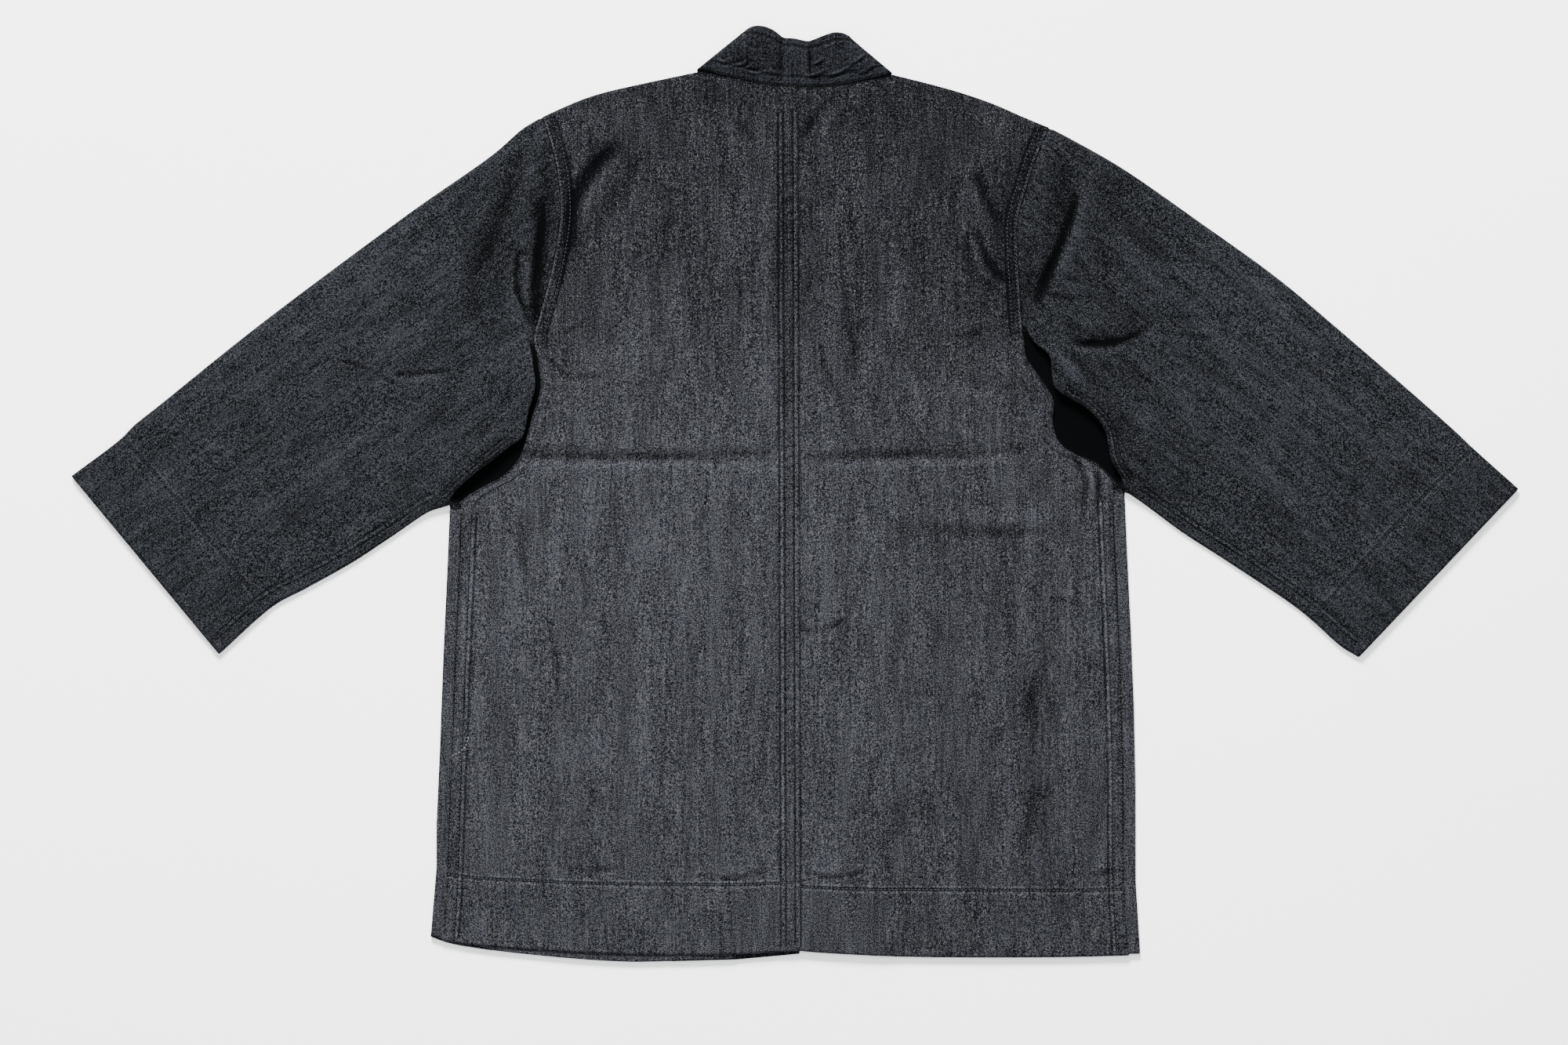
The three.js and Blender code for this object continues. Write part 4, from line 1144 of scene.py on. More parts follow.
class Graph:
    """A material's shader nodes, added one after another."""

    def __init__(self, name: str) -> None:
        """Starts an empty material.

        Args:
            name: The material's name.
        """
        self.material = bpy.data.materials.new(name)
        self.material.use_nodes = True
        self.tree = self.material.node_tree
        self.tree.nodes.clear()

    def node(
        self, kind: str, inputs: dict[str | int, Value] | None = None, **settings: object
    ) -> bpy.types.Node:
        """Adds a node.

        Args:
            kind: The node's type.
            inputs: A value or an output socket for each named input.
            **settings: The node's own properties.

        Returns:
            The new node.
        """
        made = self.tree.nodes.new(kind)
        for key, value in settings.items():
            setattr(made, key, value)
        for key, value in (inputs or {}).items():
            if isinstance(value, Socket):
                self.tree.links.new(value, made.inputs[key])
            else:
                made.inputs[key].default_value = value
        return made

    def math(self, operation: str, *values: Value) -> Socket:
        """The result of a sum on values or sockets."""
        inputs = dict(enumerate(values))
        return self.node("ShaderNodeMath", inputs, operation=operation).outputs[0]

    def mixed(self, share: Value, first: Value, second: Value, way: str = "MIX") -> Socket:
        """Blends two colours.

        Args:
            share: The share of the second one, as a value or a socket.
            first: A colour or a socket.
            second: A colour or a socket.
            way: How they blend.

        Returns:
            The blended colour.
        """
        inputs = {0: share, 6: first, 7: second}
        made = self.node("ShaderNodeMix", inputs, data_type="RGBA", blend_type=way)
        return made.outputs[2]

    def clamped(self, value: Socket) -> Socket:
        """The value, kept from 0 to 1."""
        return self.node("ShaderNodeClamp", {"Value": value}).outputs[0]

    def noise(self, vector: Socket, scale: float, detail: float = 2.0) -> Socket:
        """A noise texture's value, from 0 to 1."""
        inputs = {"Vector": vector, "Scale": scale, "Detail": detail}
        return self.node("ShaderNodeTexNoise", inputs).outputs[0]

    def attribute(self, name: str) -> Socket:
        """A mark that the mesh carries."""
        return self.node("ShaderNodeAttribute", attribute_name=name).outputs["Fac"]

    def place(self) -> Socket:
        """The piece's own coordinates, in metres."""
        return self.node("ShaderNodeTexCoord").outputs["Object"]

    def stretched(self, vector: Socket, scale: Triple, turn: float = 0.0) -> Socket:
        """Turns coordinates about Z and then scales them.

        Args:
            vector: The coordinates.
            scale: The scale along each axis.
            turn: The turn in radians.

        Returns:
            The new coordinates.
        """
        inputs = {"Vector": vector, "Rotation": (0, 0, turn)}
        turned = self.node("ShaderNodeMapping", inputs).outputs[0]
        return self.node("ShaderNodeMapping", {"Vector": turned, "Scale": scale}).outputs[0]

    def millimetres(self, turn: float = 0.0) -> Socket:
        """The piece's own coordinates in millimetres, turned about Z."""
        return self.stretched(self.place(), (1 / MM,) * 3, turn)

    def ramp(self, value: Socket, dark: Triple, light: Triple) -> Socket:
        """Turns a value into a colour.

        Args:
            value: From 0 to 1.
            dark: The colour at 0.
            light: The colour at 1.

        Returns:
            The colour between them.
        """
        made = self.node("ShaderNodeValToRGB", {"Fac": value})
        for element, colour in zip(made.color_ramp.elements, (dark, light)):
            element.color = (*colour, 1)
        return made.outputs[0]

    def bump(self, height: Socket, strength: float, distance: float) -> Socket:
        """A normal that leans with a height, whose full rise is in millimetres."""
        inputs = {"Height": height, "Strength": strength, "Distance": distance * MM}
        return self.node("ShaderNodeBump", inputs).outputs[0]

    def finished(self, inputs: dict[str, Value]) -> Material:
        """Ends the material in a shader.

        Args:
            inputs: What the shader's sockets get.

        Returns:
            The material.
        """
        shader = self.node("ShaderNodeBsdfPrincipled", inputs)
        self.node("ShaderNodeOutputMaterial", {"Surface": shader.outputs[0]})
        return self.material


class Noise(NamedTuple):
    """A noise in the denim's tone."""

    scale: Triple  # features in each millimetre, across the warp, along it and up
    detail: float
    weight: float


NOISES = {
    "grain": Noise((1.45, 1.2, 1.4), 1.0, 3.15),
    "fleck": Noise((0.75, 0.5, 0.6), 1.0, 1.2),
    "slub": Noise((0.5, 0.03, 0.3), 2.0, 0.62),
    "mottle": Noise((0.1, 0.02, 0.05), 2.0, 0.36),
    "cloud": Noise((0.02, 0.012, 0.02), 1.0, 0.2),
}


class SeamRows(NamedTuple):
    """A kind of stitched rows that the denim dips along, with painted shade in its grooves and
    painted highlights on its crests.
    """

    mark: str
    grooves: tuple[float, ...]  # from the middle of the rows to each groove, darkened by painted shade
    highlight_crests: tuple[float, ...]  # and to each crest, lightened by a painted highlight


SEAM_ROWS = (
    SeamRows("lengthwise", (4.1, 8.5), (6.3,)),
    SeamRows("crosswise", (0.3,), (2.6,)),
    SeamRows("armhole", (3.0, 5.4), (4.1,)),
    SeamRows("rolled", (1.7, 5.0), (0.0,)),
)


@dataclass(frozen=True)
class Denim:
    """Washed charcoal denim: twill, slubs, salt-and-pepper grain, soft mottling, and the painted
    shade and highlights that the mesh's tone carries.
    """

    name: str
    slot: str
    dark: Triple
    light: Triple
    grain_angle: float = 0.0  # degrees that the warp is turned from the jacket's length
    contrast: float = 1.0
    sheen: float = 0.01
    roughness: float = 0.9
    specular: float = 0.015
    TWILL_PERIOD = 1.45
    TWILL_SLOPE = 0.62  # how far a twill line climbs for each millimetre across
    TWILL_WEIGHT = 0.22
    # Painted shade in the grooves beside the stitches and a painted highlight on the crests beside
    # them.
    GROOVE_SHADE = -0.28
    CREST_HIGHLIGHT = 0.16
    GROOVE_REACH = 1.4  # of a line beside the stitches, in millimetres
    CREST_REACH = 1.3
    COOL = (0.86, 0.97, 1.16, 1)
    WARM = (1.14, 1.02, 0.87, 1)

    def make(self) -> Material:
        """Builds the material.

        Returns:
            The new material.
        """
        graph = Graph(self.name)
        millimetres = graph.millimetres(math.radians(-self.grain_angle))
        noises = {
            name: graph.noise(graph.stretched(millimetres, noise.scale), 1.0, noise.detail)
            for name, noise in NOISES.items()
        }
        grain, fleck = noises["grain"], noises["fleck"]
        twill = self._twill(graph, millimetres, grain)
        broken = graph.math("MULTIPLY_ADD", fleck, 4.6, -1.3)
        grooves = {rows.mark: rows.grooves for rows in SEAM_ROWS}
        highlight_crests = {rows.mark: rows.highlight_crests for rows in SEAM_ROWS}
        groove = graph.math("MULTIPLY", self._beside(graph, grooves, self.GROOVE_REACH), broken)
        crest_highlight = graph.math("MULTIPLY", self._beside(graph, highlight_crests, self.CREST_REACH), broken)

        # The tone starts from the mesh's mark, which carries painted shade and highlights.
        tone = graph.attribute("fade")
        layers = [(noises[name], noise.weight) for name, noise in NOISES.items()]
        for value, share in (*layers, (twill, self.TWILL_WEIGHT)):
            weight = share * self.contrast
            centred = graph.math("MULTIPLY_ADD", value, weight, -0.5 * weight)
            tone = graph.math("ADD", tone, centred)
        # Painted shade in the seams' grooves and painted highlights on their crests.
        tone = graph.math("MULTIPLY_ADD", groove, self.GROOVE_SHADE, tone)
        tone = graph.math("MULTIPLY_ADD", crest_highlight, self.CREST_HIGHLIGHT, tone)
        tone = graph.math("POWER", graph.clamped(tone), 2.0)
        cloth = graph.mixed(tone, (*self.dark, 1), (*self.light, 1))
        hue = graph.math("MULTIPLY_ADD", graph.math("ADD", fleck, grain), 1.3, -0.85)
        tint = graph.mixed(graph.clamped(hue), self.COOL, self.WARM)

        relief = graph.math("MULTIPLY_ADD", twill, 0.3, graph.math("MULTIPLY", grain, 0.8))
        relief = graph.math("MULTIPLY_ADD", groove, -0.6, relief)
        return graph.finished({
            "Base Color": graph.mixed(1.0, cloth, tint, "MULTIPLY"),
            "Roughness": self.roughness,
            "Normal": graph.bump(relief, 0.7, 0.4),
            "Sheen Weight": self.sheen,
            "Sheen Roughness": 0.5,
            "Specular IOR Level": self.specular,
        })

    @staticmethod
    def _beside(graph: Graph, places: dict[str, tuple[float, ...]], reach: float) -> Socket:
        """Draws lines at some distances from the rows of stitches.

        Args:
            graph: The material's nodes.
            places: The distances in millimetres, for each mark.
            reach: How far each line reaches on either side.

        Returns:
            A value that is 1 on a line and 0 away from it.
        """
        total: Value = 0.0
        for mark, distances in places.items():
            away = graph.math("ABSOLUTE", graph.attribute(mark))
            for place in distances:
                off = graph.math("ABSOLUTE", graph.math("SUBTRACT", away, place))
                inputs = {"Value": off, "From Min": 0.25, "From Max": reach}
                inputs |= {"To Min": 1.0, "To Max": 0.0}
                near = graph.node("ShaderNodeMapRange", inputs, interpolation_type="SMOOTHSTEP")
                total = graph.math("MAXIMUM", near.outputs[0], total)
        return total

    def _twill(self, graph: Graph, millimetres: Socket, grain: Socket) -> Socket:
        """Draws the diagonal lines of the weave.

        Args:
            graph: The material's nodes.
            millimetres: Coordinates along the cloth's grain.
            grain: The noise that bends the lines.

        Returns:
            A value from 0 to 1.
        """
        wave = 2 * math.pi / self.TWILL_PERIOD
        inputs = {0: millimetres, 1: (wave * self.TWILL_SLOPE, -wave, 0)}
        phase = graph.node("ShaderNodeVectorMath", inputs, operation="DOT_PRODUCT")
        bent = graph.math("MULTIPLY_ADD", grain, 5.0, phase.outputs["Value"])
        return graph.math("MULTIPLY_ADD", graph.math("SINE", bent), 0.5, 0.5)


@dataclass(frozen=True)
class Thread:
    """Spun sewing thread, its tone varying with a fine fibre noise."""

    name: str
    dark: Triple
    light: Triple
    roughness: float = 0.85
    specular: float = 0.05
    FIBRES = 2.4  # in each millimetre

    def make(self) -> Material:
        """Builds the material.

        Returns:
            The new material.
        """
        graph = Graph(self.name)
        fibres = graph.noise(graph.millimetres(), self.FIBRES)
        return graph.finished({
            "Base Color": graph.ramp(fibres, self.dark, self.light),
            "Roughness": self.roughness,
            "Normal": graph.bump(fibres, 0.4, 0.1),
            "Specular IOR Level": self.specular,
        })


# ---- Stitches -----------------------------------------------------------------


@dataclass
class StitchedPiece:
    """Collects the rows of stitches on one piece of cloth."""

    cloth: Piece
    finish: Material
    word: str = "stitches"
    paths: list[Array] = field(default_factory=list)
    RING = ((-0.5, 0.0), (0.0, 0.6), (0.5, 0.0), (0.0, -0.5))
    RING_PLACES = (-0.3, 0.3)  # shares of a stitch's length from its middle
    SUNK = 0.15  # how far a stitch's ends sink into the cloth
    CAST_FROM = 60.0  # height from which a stitch is dropped on the cloth

    def add(self, path: Array, pitch: float = STITCH_PITCH) -> None:
        """Adds a row of stitches.

        Args:
            path: The plan line that it follows.
            pitch: The length of a stitch and the gap after it.
        """
        length = lengths_along(path)[-1]
        count = max(2, round(length / pitch))
        self.paths.append(along(path, (np.arange(count) + 0.5) / count))

    def build(self) -> Piece:
        """Drops every stitch on the cloth and joins them.

        Returns:
            The one piece of all the stitches.
        """
        tree = BVHTree.FromObject(self.cloth, bpy.context.evaluated_depsgraph_get())
        vertices: list[Array] = []
        faces: list[tuple[int, ...]] = []
        for path in self.paths:
            for (x, y), tangent in zip(path, np.gradient(path, axis=0)):
                origin = Vector((x * MM, y * MM, self.CAST_FROM * MM))
                hit, normal, _, _ = tree.ray_cast(origin, Vector((0, 0, -1)))
                if hit is not None:
                    spot = np.array(hit) / MM
                    self._stitch(vertices, faces, spot, np.array(normal), tangent)
        name = self.cloth.name.replace("cloth", self.word)
        made = mesh_object(name, np.array(vertices), faces)
        made.data.materials.append(self.finish)
        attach(made, "root")
        return made

    def _stitch(
        self,
        vertices: list[Array],
        faces: list[tuple[int, ...]],
        spot: Array,
        normal: Array,
        tangent: Array,
    ) -> None:
        """Adds one stitch, a short spindle that lies along its row.

        Args:
            vertices: The vertices so far, which grow.
            faces: The faces so far, which grow.
            spot: The stitch's middle, on the cloth.
            normal: The cloth's normal there.
            tangent: The row's direction on the plan.
        """
        forward = np.array([*tangent, 0.0])
        forward -= normal * (forward @ normal)
        forward /= max(np.linalg.norm(forward), 1e-9)
        across = np.cross(normal, forward)
        first = len(vertices)
        half = STITCH_LENGTH / 2
        vertices.append(spot - forward * half - normal * self.SUNK)
        for place in self.RING_PLACES:
            centre = spot + forward * place * STITCH_LENGTH
            for side, up in self.RING:
                vertices.append(centre + THREAD * (side * across + up * normal))
        vertices.append(spot + forward * half - normal * self.SUNK)
        for k in range(4):
            after = (k + 1) % 4
            faces.append((first, first + 1 + after, first + 1 + k))
            faces.append((first + 1 + k, first + 1 + after, first + 5 + after, first + 5 + k))
            faces.append((first + 5 + k, first + 5 + after, first + 9))


# ---- The jacket's pieces ------------------------------------------------------


class SeamShading(NamedTuple):
    """Painted shade along a line beside a seam, a painted highlight where its tone is above zero.
    """

    place: float  # its distance from the middle of the seam's rows
    tone: float
    full: float  # how far from that line it is whole
    reach: float  # and how far from it it ends

    def at(self, distances: Array) -> Array:
        """The change at distances from the middle of the seam's rows."""
        return self.tone * (1 - smoothstep(np.abs(distances - self.place), self.full, self.reach))


def armhole_line(half: Half) -> Array:
    """The back's edge at the armhole, by row of its table."""
    return np.array([(row.x, row.y) for row in half.armhole])


def armhole_beside(half: Half, if_plain: float, if_pleated: float) -> Array:
    """The armhole's edge moved away from the body, further where it is pleated."""
    formed = np.array([min(1.0, row.pleat) for row in half.armhole])
    return moved_sideways(armhole_line(half), -half.sign * mix(if_plain, if_pleated, formed))


def side_seam(half: Half, y: Array) -> Array:
    """The seam between the turned side and the back."""
    return np.stack([crossing_at(half.side_edge, y) - half.sign * SIDE_WRAP, y], axis=1)


def thinned(line: Array) -> Array:
    """A row of stitches with few enough points to gather the cloth along it."""
    return line[:: max(1, len(line) // PUCKER_POINTS)]


@dataclass
class Back:
    """One back panel: flat-felled at its side and hemmed at its foot."""

    half: Half
    surface: ClothSurface
    finish: Denim
    thread: Material
    tack_thread: Material
    CENTRE_ROWS = 6.9  # from the seam at the centre to the middle of its rows
    ROW_INSET = 1.8  # from a felled band's edge to its row of stitches
    SHOULDER_FALL = 0.965  # share of the height from which the top falls to the shoulder
    BAND_EDGE = (4.4, 6.0)  # where the armhole's band ends, from the middle of its rows
    TACK_PITCH = 2.9
    # Painted shade along the neck seam beside the raised collar band; round the armhole's band,
    # broad painted shade, a painted highlight on its edge and painted shade beside it.
    NECK_SHADE = SeamShading(0.0, -0.3, 0.6, 3.0)
    ARMHOLE_SHADING = (
        SeamShading(0.0, -0.09, 4.0, 6.0),
        SeamShading(4.3, 0.34, 0.3, 1.1),
        SeamShading(-4.1, -0.14, 0.5, 1.4),
    )

    def __post_init__(self) -> None:
        """Works out the panel's four edges and the shares of its bands."""
        half = self.half
        hem_y = half.back_hem[0][1]
        underarm = half.side_edge[-1][1] - 2
        side = side_seam(half, np.linspace(hem_y, underarm, 9))
        side[0] = half.back_hem[0]
        sewn = armhole_beside(half, 0, PLEAT[0].past)[SIDE_SEAM_ROW:]
        self.edge = PlanLine.through(np.vstack([side, sewn])).dense()
        self.height = self.edge[-1, 1] - hem_y
        self.width = abs(half.back_hem[0][0] - CENTRE_HEM[0]) - SEAM_GAP / 2
        self.fell = FELL_WIDTH / self.width
        self.slope = FELL_SLOPE / self.width
        self.hem = HEM_DEPTH / self.height

    def plan(self, us: Array, vs: Array) -> Array:
        """Lays the panel out on the plan.

        Args:
            us: Shares across the panel, from its side to the centre.
            vs: Shares up it.

        Returns:
            The plan points, by row and column.
        """
        half = self.half
        hem_y = half.back_hem[0][1]
        y = hem_y + vs * self.height
        start = np.stack([np.interp(y, self.edge[:, 1], self.edge[:, 0]), y], axis=1)
        drop = (CENTRE_HEM[1] - hem_y) * (1 - vs) ** 4
        rise = (CENTRE_NECK[1] - self.edge[-1, 1]) * vs**4
        share = (y + drop + rise - CENTRE_HEM[1]) / (CENTRE_NECK[1] - CENTRE_HEM[1])
        end = mix(np.array(CENTRE_HEM), np.array(CENTRE_NECK), share[:, None])
        end[:, 0] += half.sign * SEAM_GAP / 2
        shift = np.array([half.sign * SEAM_GAP / 2, 0]) * us[:, None]
        low = boundary([half.back_hem], us) + shift
        high = boundary([half.shoulder, half.neck], us) + shift
        return patch(start, end, low, high, us, vs)

    def seam_line(self, u: float) -> Array:
        """A plan line up the panel at one share across it."""
        return self.plan(np.array([0.0, u, 1.0]), np.linspace(0.004, 0.996, 160))[:, 1]

    def hem_line(self) -> Array:
        """The hem's row of stitches."""
        share = self.hem - HEM_INSET / self.height
        return self.plan(np.linspace(0.004, 0.998, 100), np.array([0.0, share, 1.0]))[1]

    def sewn_armhole(self) -> Array:
        """The armhole's edge down to where its felled band goes under the sleeve."""
        armhole = PlanLine.through(armhole_line(self.half)).dense()
        return armhole[armhole[:, 1] > self.half.band_foot]

    def stitch_lines(self) -> list[Array]:
        """Finds every row of stitches on the panel.

        Returns:
            A plan line for each row.
        """
        inset = self.ROW_INSET / self.width
        below_arm = self.half.side_edge[-1][1] - 6
        sides = [self.seam_line(inset), self.seam_line(self.fell - inset)]
        lines = [line[line[:, 1] < below_arm] for line in sides]
        if self.half.fell_at_centre:
            lines += [self.seam_line(1 - self.fell + inset), self.seam_line(1 - inset)]
        lines.append(self.hem_line())
        armhole = self.sewn_armhole()
        lines += [moved_sideways(armhole, self.half.sign * row) for row in ARMHOLE_ROWS[1:]]
        return lines

    def _marks(self, flat: Array, creased: Array) -> Array:
        """Works out the marks at plan points.

        Args:
            flat: The plan points.
            creased: What the creases add to the height at each.

        Returns:
            The marks at each point.
        """
        half = self.half
        side = beside_rows(self.seam_line(self.fell / 2)[::4], flat) * -half.sign
        side = np.where(flat[:, 1] < half.side_edge[-1][1] - 5, side, NO_ROW)
        from_centre = np.abs(beside_rows(self.seam_line(1.0)[::4], flat))
        centre = self.CENTRE_ROWS + np.where(half.fell_at_centre, -1, 1) * from_centre
        side = np.where(np.abs(centre) < np.abs(side), centre, side)
        hem = beside_rows(self.hem_line()[::3], flat)
        rows = moved_sideways(self.sewn_armhole()[::6], half.sign * ARMHOLE_ROWS[0])
        armhole = beside_rows(rows, flat)

        # Painted shade: the tone grows darker towards the collar and towards the wearer's right.
        tone_and_painted_shade = 0.52 - 0.18 * smoothstep(flat[:, 1], 10, 240)
        tone_and_painted_shade -= 0.055 * smoothstep(flat[:, 0], -20, 120)
        # Painted shade along the neck seam.
        tone_and_painted_shade += self.NECK_SHADE.at(beside_rows(PlanLine.through(half.neck).dense()[::4], flat))
        # Painted shade round the armhole's band and a painted highlight on its edge.
        for seam_shading in self.ARMHOLE_SHADING:
            tone_and_painted_shade += seam_shading.at(-half.sign * armhole)
        # Broad painted shade and highlights.
        tone_and_painted_shade += self.surface.painted_shading(flat)
        # Painted shade in the creases' troughs and a painted highlight on their ridges.
        return marks_of(tone_and_painted_shade + crease_shade(creased), lengthwise=side, crosswise=hem, armhole=armhole)

    def _grid(self) -> ClothGrid:
        """Lays the panel's grid over the plan.

        Returns:
            The grid, with the relief of its felled bands and its hem.
        """
        half = self.half
        felled_end = self.fell + self.slope
        centre_start = 1 - self.fell - self.slope
        steps = np.array([SEAM_STEP, COLUMN_STEP, SEAM_STEP]) / self.width
        columns = even_stops([0, felled_end, centre_start, 1], steps)
        rows = even_stops([0, self.hem + 0.004, 1], np.array([2.0, ROW_STEP]) / self.height)
        plan = self.plan(columns, rows)
        flat = plan.reshape(-1, 2)
        creased = self.surface.creased(flat)
        shoulder = PlanLine.through(half.shoulder).length()
        neck_share = shoulder / (shoulder + PlanLine.through(half.neck).length())
        on_shoulder = 1 - smoothstep(columns, 0.75 * neck_share, neck_share)
        falling = smoothstep(rows, self.SHOULDER_FALL, 1)[:, None] * on_shoulder[None]
        heights = (self.surface.folded(flat) + creased).reshape(plan.shape[:2])
        points = np.dstack([plan, mix(heights, SHOULDER_EDGE, falling)])

        felled = 1 - smoothstep(columns, self.fell, felled_end)
        if half.fell_at_centre:
            felled = np.maximum(felled, smoothstep(columns, centre_start, 1 - self.fell))
        hemmed = 1 - smoothstep(rows, self.hem, self.hem + 0.8 * FELL_SLOPE / self.height)
        relief = np.maximum(FELL_RELIEF * felled[None, :], HEM_RELIEF * hemmed[:, None])
        marks = self._marks(flat, creased).reshape(*relief.shape, len(MARKS))
        from_rows = np.abs(marks[..., MARKS.index("armhole")])
        relief = np.maximum(relief, FELL_RELIEF * (1 - smoothstep(from_rows, *self.BAND_EDGE)))
        return ClothGrid(points, relief, marks, side=-half.sign)

    def build(self) -> Piece:
        """Makes the panel, its stitches and their finishes.

        Returns:
            The panel.
        """
        half = self.half
        lines = self.stitch_lines()
        self.surface.puckers = [Pucker(thinned(line)) for line in lines]
        cloth = cloth_object(f"back_{half.word}_cloth", self._grid())
        cloth.data.materials.append(self.finish.make())
        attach(cloth, "root")
        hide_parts(f"back_{half.word}")
        stitches = StitchedPiece(cloth, self.thread)
        for line in lines:
            stitches.add(line)
        sewn_on = [stitches.build()]
        if half.side is Side.LEFT:
            tack = StitchedPiece(cloth, self.tack_thread, "tack")
            tack.add(PlanLine.through(SIDE_TACK).dense(), pitch=self.TACK_PITCH)
            sewn_on.append(tack.build())
        return cloth


@dataclass
class Front:
    """One front panel, flat on the surface and turned up round the side."""

    half: Half
    surface: ClothSurface
    finish: Denim
    # the turn's section, as shares of the wrap and of the height
    TURN = (
        (1.0, 1.0), (0.7, 1.0), (0.35, 0.98), (0.08, 0.82), (0.0, 0.5), (0.08, 0.16), (0.35, 0.0),
    )
    WRAP_END = 3.5
    BAND_SEAM_GAP = 0.5
    HEM_THICKNESS = 3.2  # of the layers turned up over the panel
    HEM_END = (0.01, 0.024)  # shares of the height over which they end
    TURN_CREASED = 0.6  # how much of the back's creases shows on the turn
    EDGE_INSET = 0.08  # share of the wrap from the turn's outside to the flat's first column

    def _flat(self, edge: Array) -> ClothGrid:
        """Lays out the part that is flat on the surface.

        Args:
            edge: The side's outer edge, from the hem up to the underarm.

        Returns:
            The part's grid.
        """
        half = self.half
        start = np.vstack([edge, boundary([half.front_armhole], np.linspace(0, 1, 70))])
        vs = (start[:, 1] - edge[0, 1]) / (start[-1, 1] - edge[0, 1])
        flat_run = [(row.x, row.y) for row in BAND_RUN if row.x * half.sign > 0 and row.z == 0]
        if half.side is Side.RIGHT:
            flat_run.reverse()
        hem_end = half.front_hem[-1]
        neck_point = half.shoulder[-1]
        end_y = mix(hem_end[1], neck_point[1], vs)
        end_x = crossing_at([hem_end, *flat_run[1:], neck_point], end_y)
        end = np.stack([end_x + half.sign * self.BAND_SEAM_GAP, end_y], axis=1)
        us = np.linspace(0, 1, round(240 / COARSE_STEP))
        low, high = boundary([half.front_hem], us), boundary([half.shoulder], us)
        plan = patch(start, end, low, high, us, vs)
        level = np.zeros(plan.shape[:2])
        points = np.dstack([plan, level])
        points[: len(edge), 0, 0] -= half.sign * self.EDGE_INSET * SIDE_WRAP
        hemmed = 1 - smoothstep(vs, *self.HEM_END)[:, None, None]
        thickness = mix(CLOTH, self.HEM_THICKNESS, hemmed)
        return ClothGrid(points, level, marks_of(level + 0.5), half.sign, thickness)

    def _turn(self, edge: Array) -> ClothGrid:
        """Turns the side up to its seam with the back.

        Args:
            edge: The side's outer edge, from the hem up to the underarm.

        Returns:
            The turned part's grid.
        """
        half = self.half
        seam = side_seam(half, edge[:, 1])
        seam[:, 0] += half.sign * SEAM_GAP
        profile = PlanLine.through(self.TURN).dense()[::6]
        plan = mix(edge[:, None], seam[:, None], profile[None, :, :1])
        flat = plan.reshape(-1, 2)
        tops = self.surface.folded(flat) + self.TURN_CREASED * self.surface.creased(flat)
        heights = tops.reshape(plan.shape[:2]) * np.clip(profile[:, 1], 0, 1)
        level = np.zeros(heights.shape)
        return ClothGrid(np.dstack([plan, heights]), level, marks_of(level + 0.5), half.sign)

    def build(self) -> Piece:
        """Makes the panel and its finish.

        Returns:
            The panel.
        """
        half = self.half
        wrap_top = half.side_edge[-1][1] - self.WRAP_END
        rows = even_stops([half.side_edge[0][1], wrap_top], [ROW_STEP])
        edge = np.stack([crossing_at(half.side_edge, rows), rows], axis=1)
        cloth = cloth_object(f"front_{half.word}_cloth", self._turn(edge), self._flat(edge))
        cloth.data.materials.append(self.finish.make())
        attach(cloth, "root")
        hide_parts(f"front_{half.word}")
        return cloth


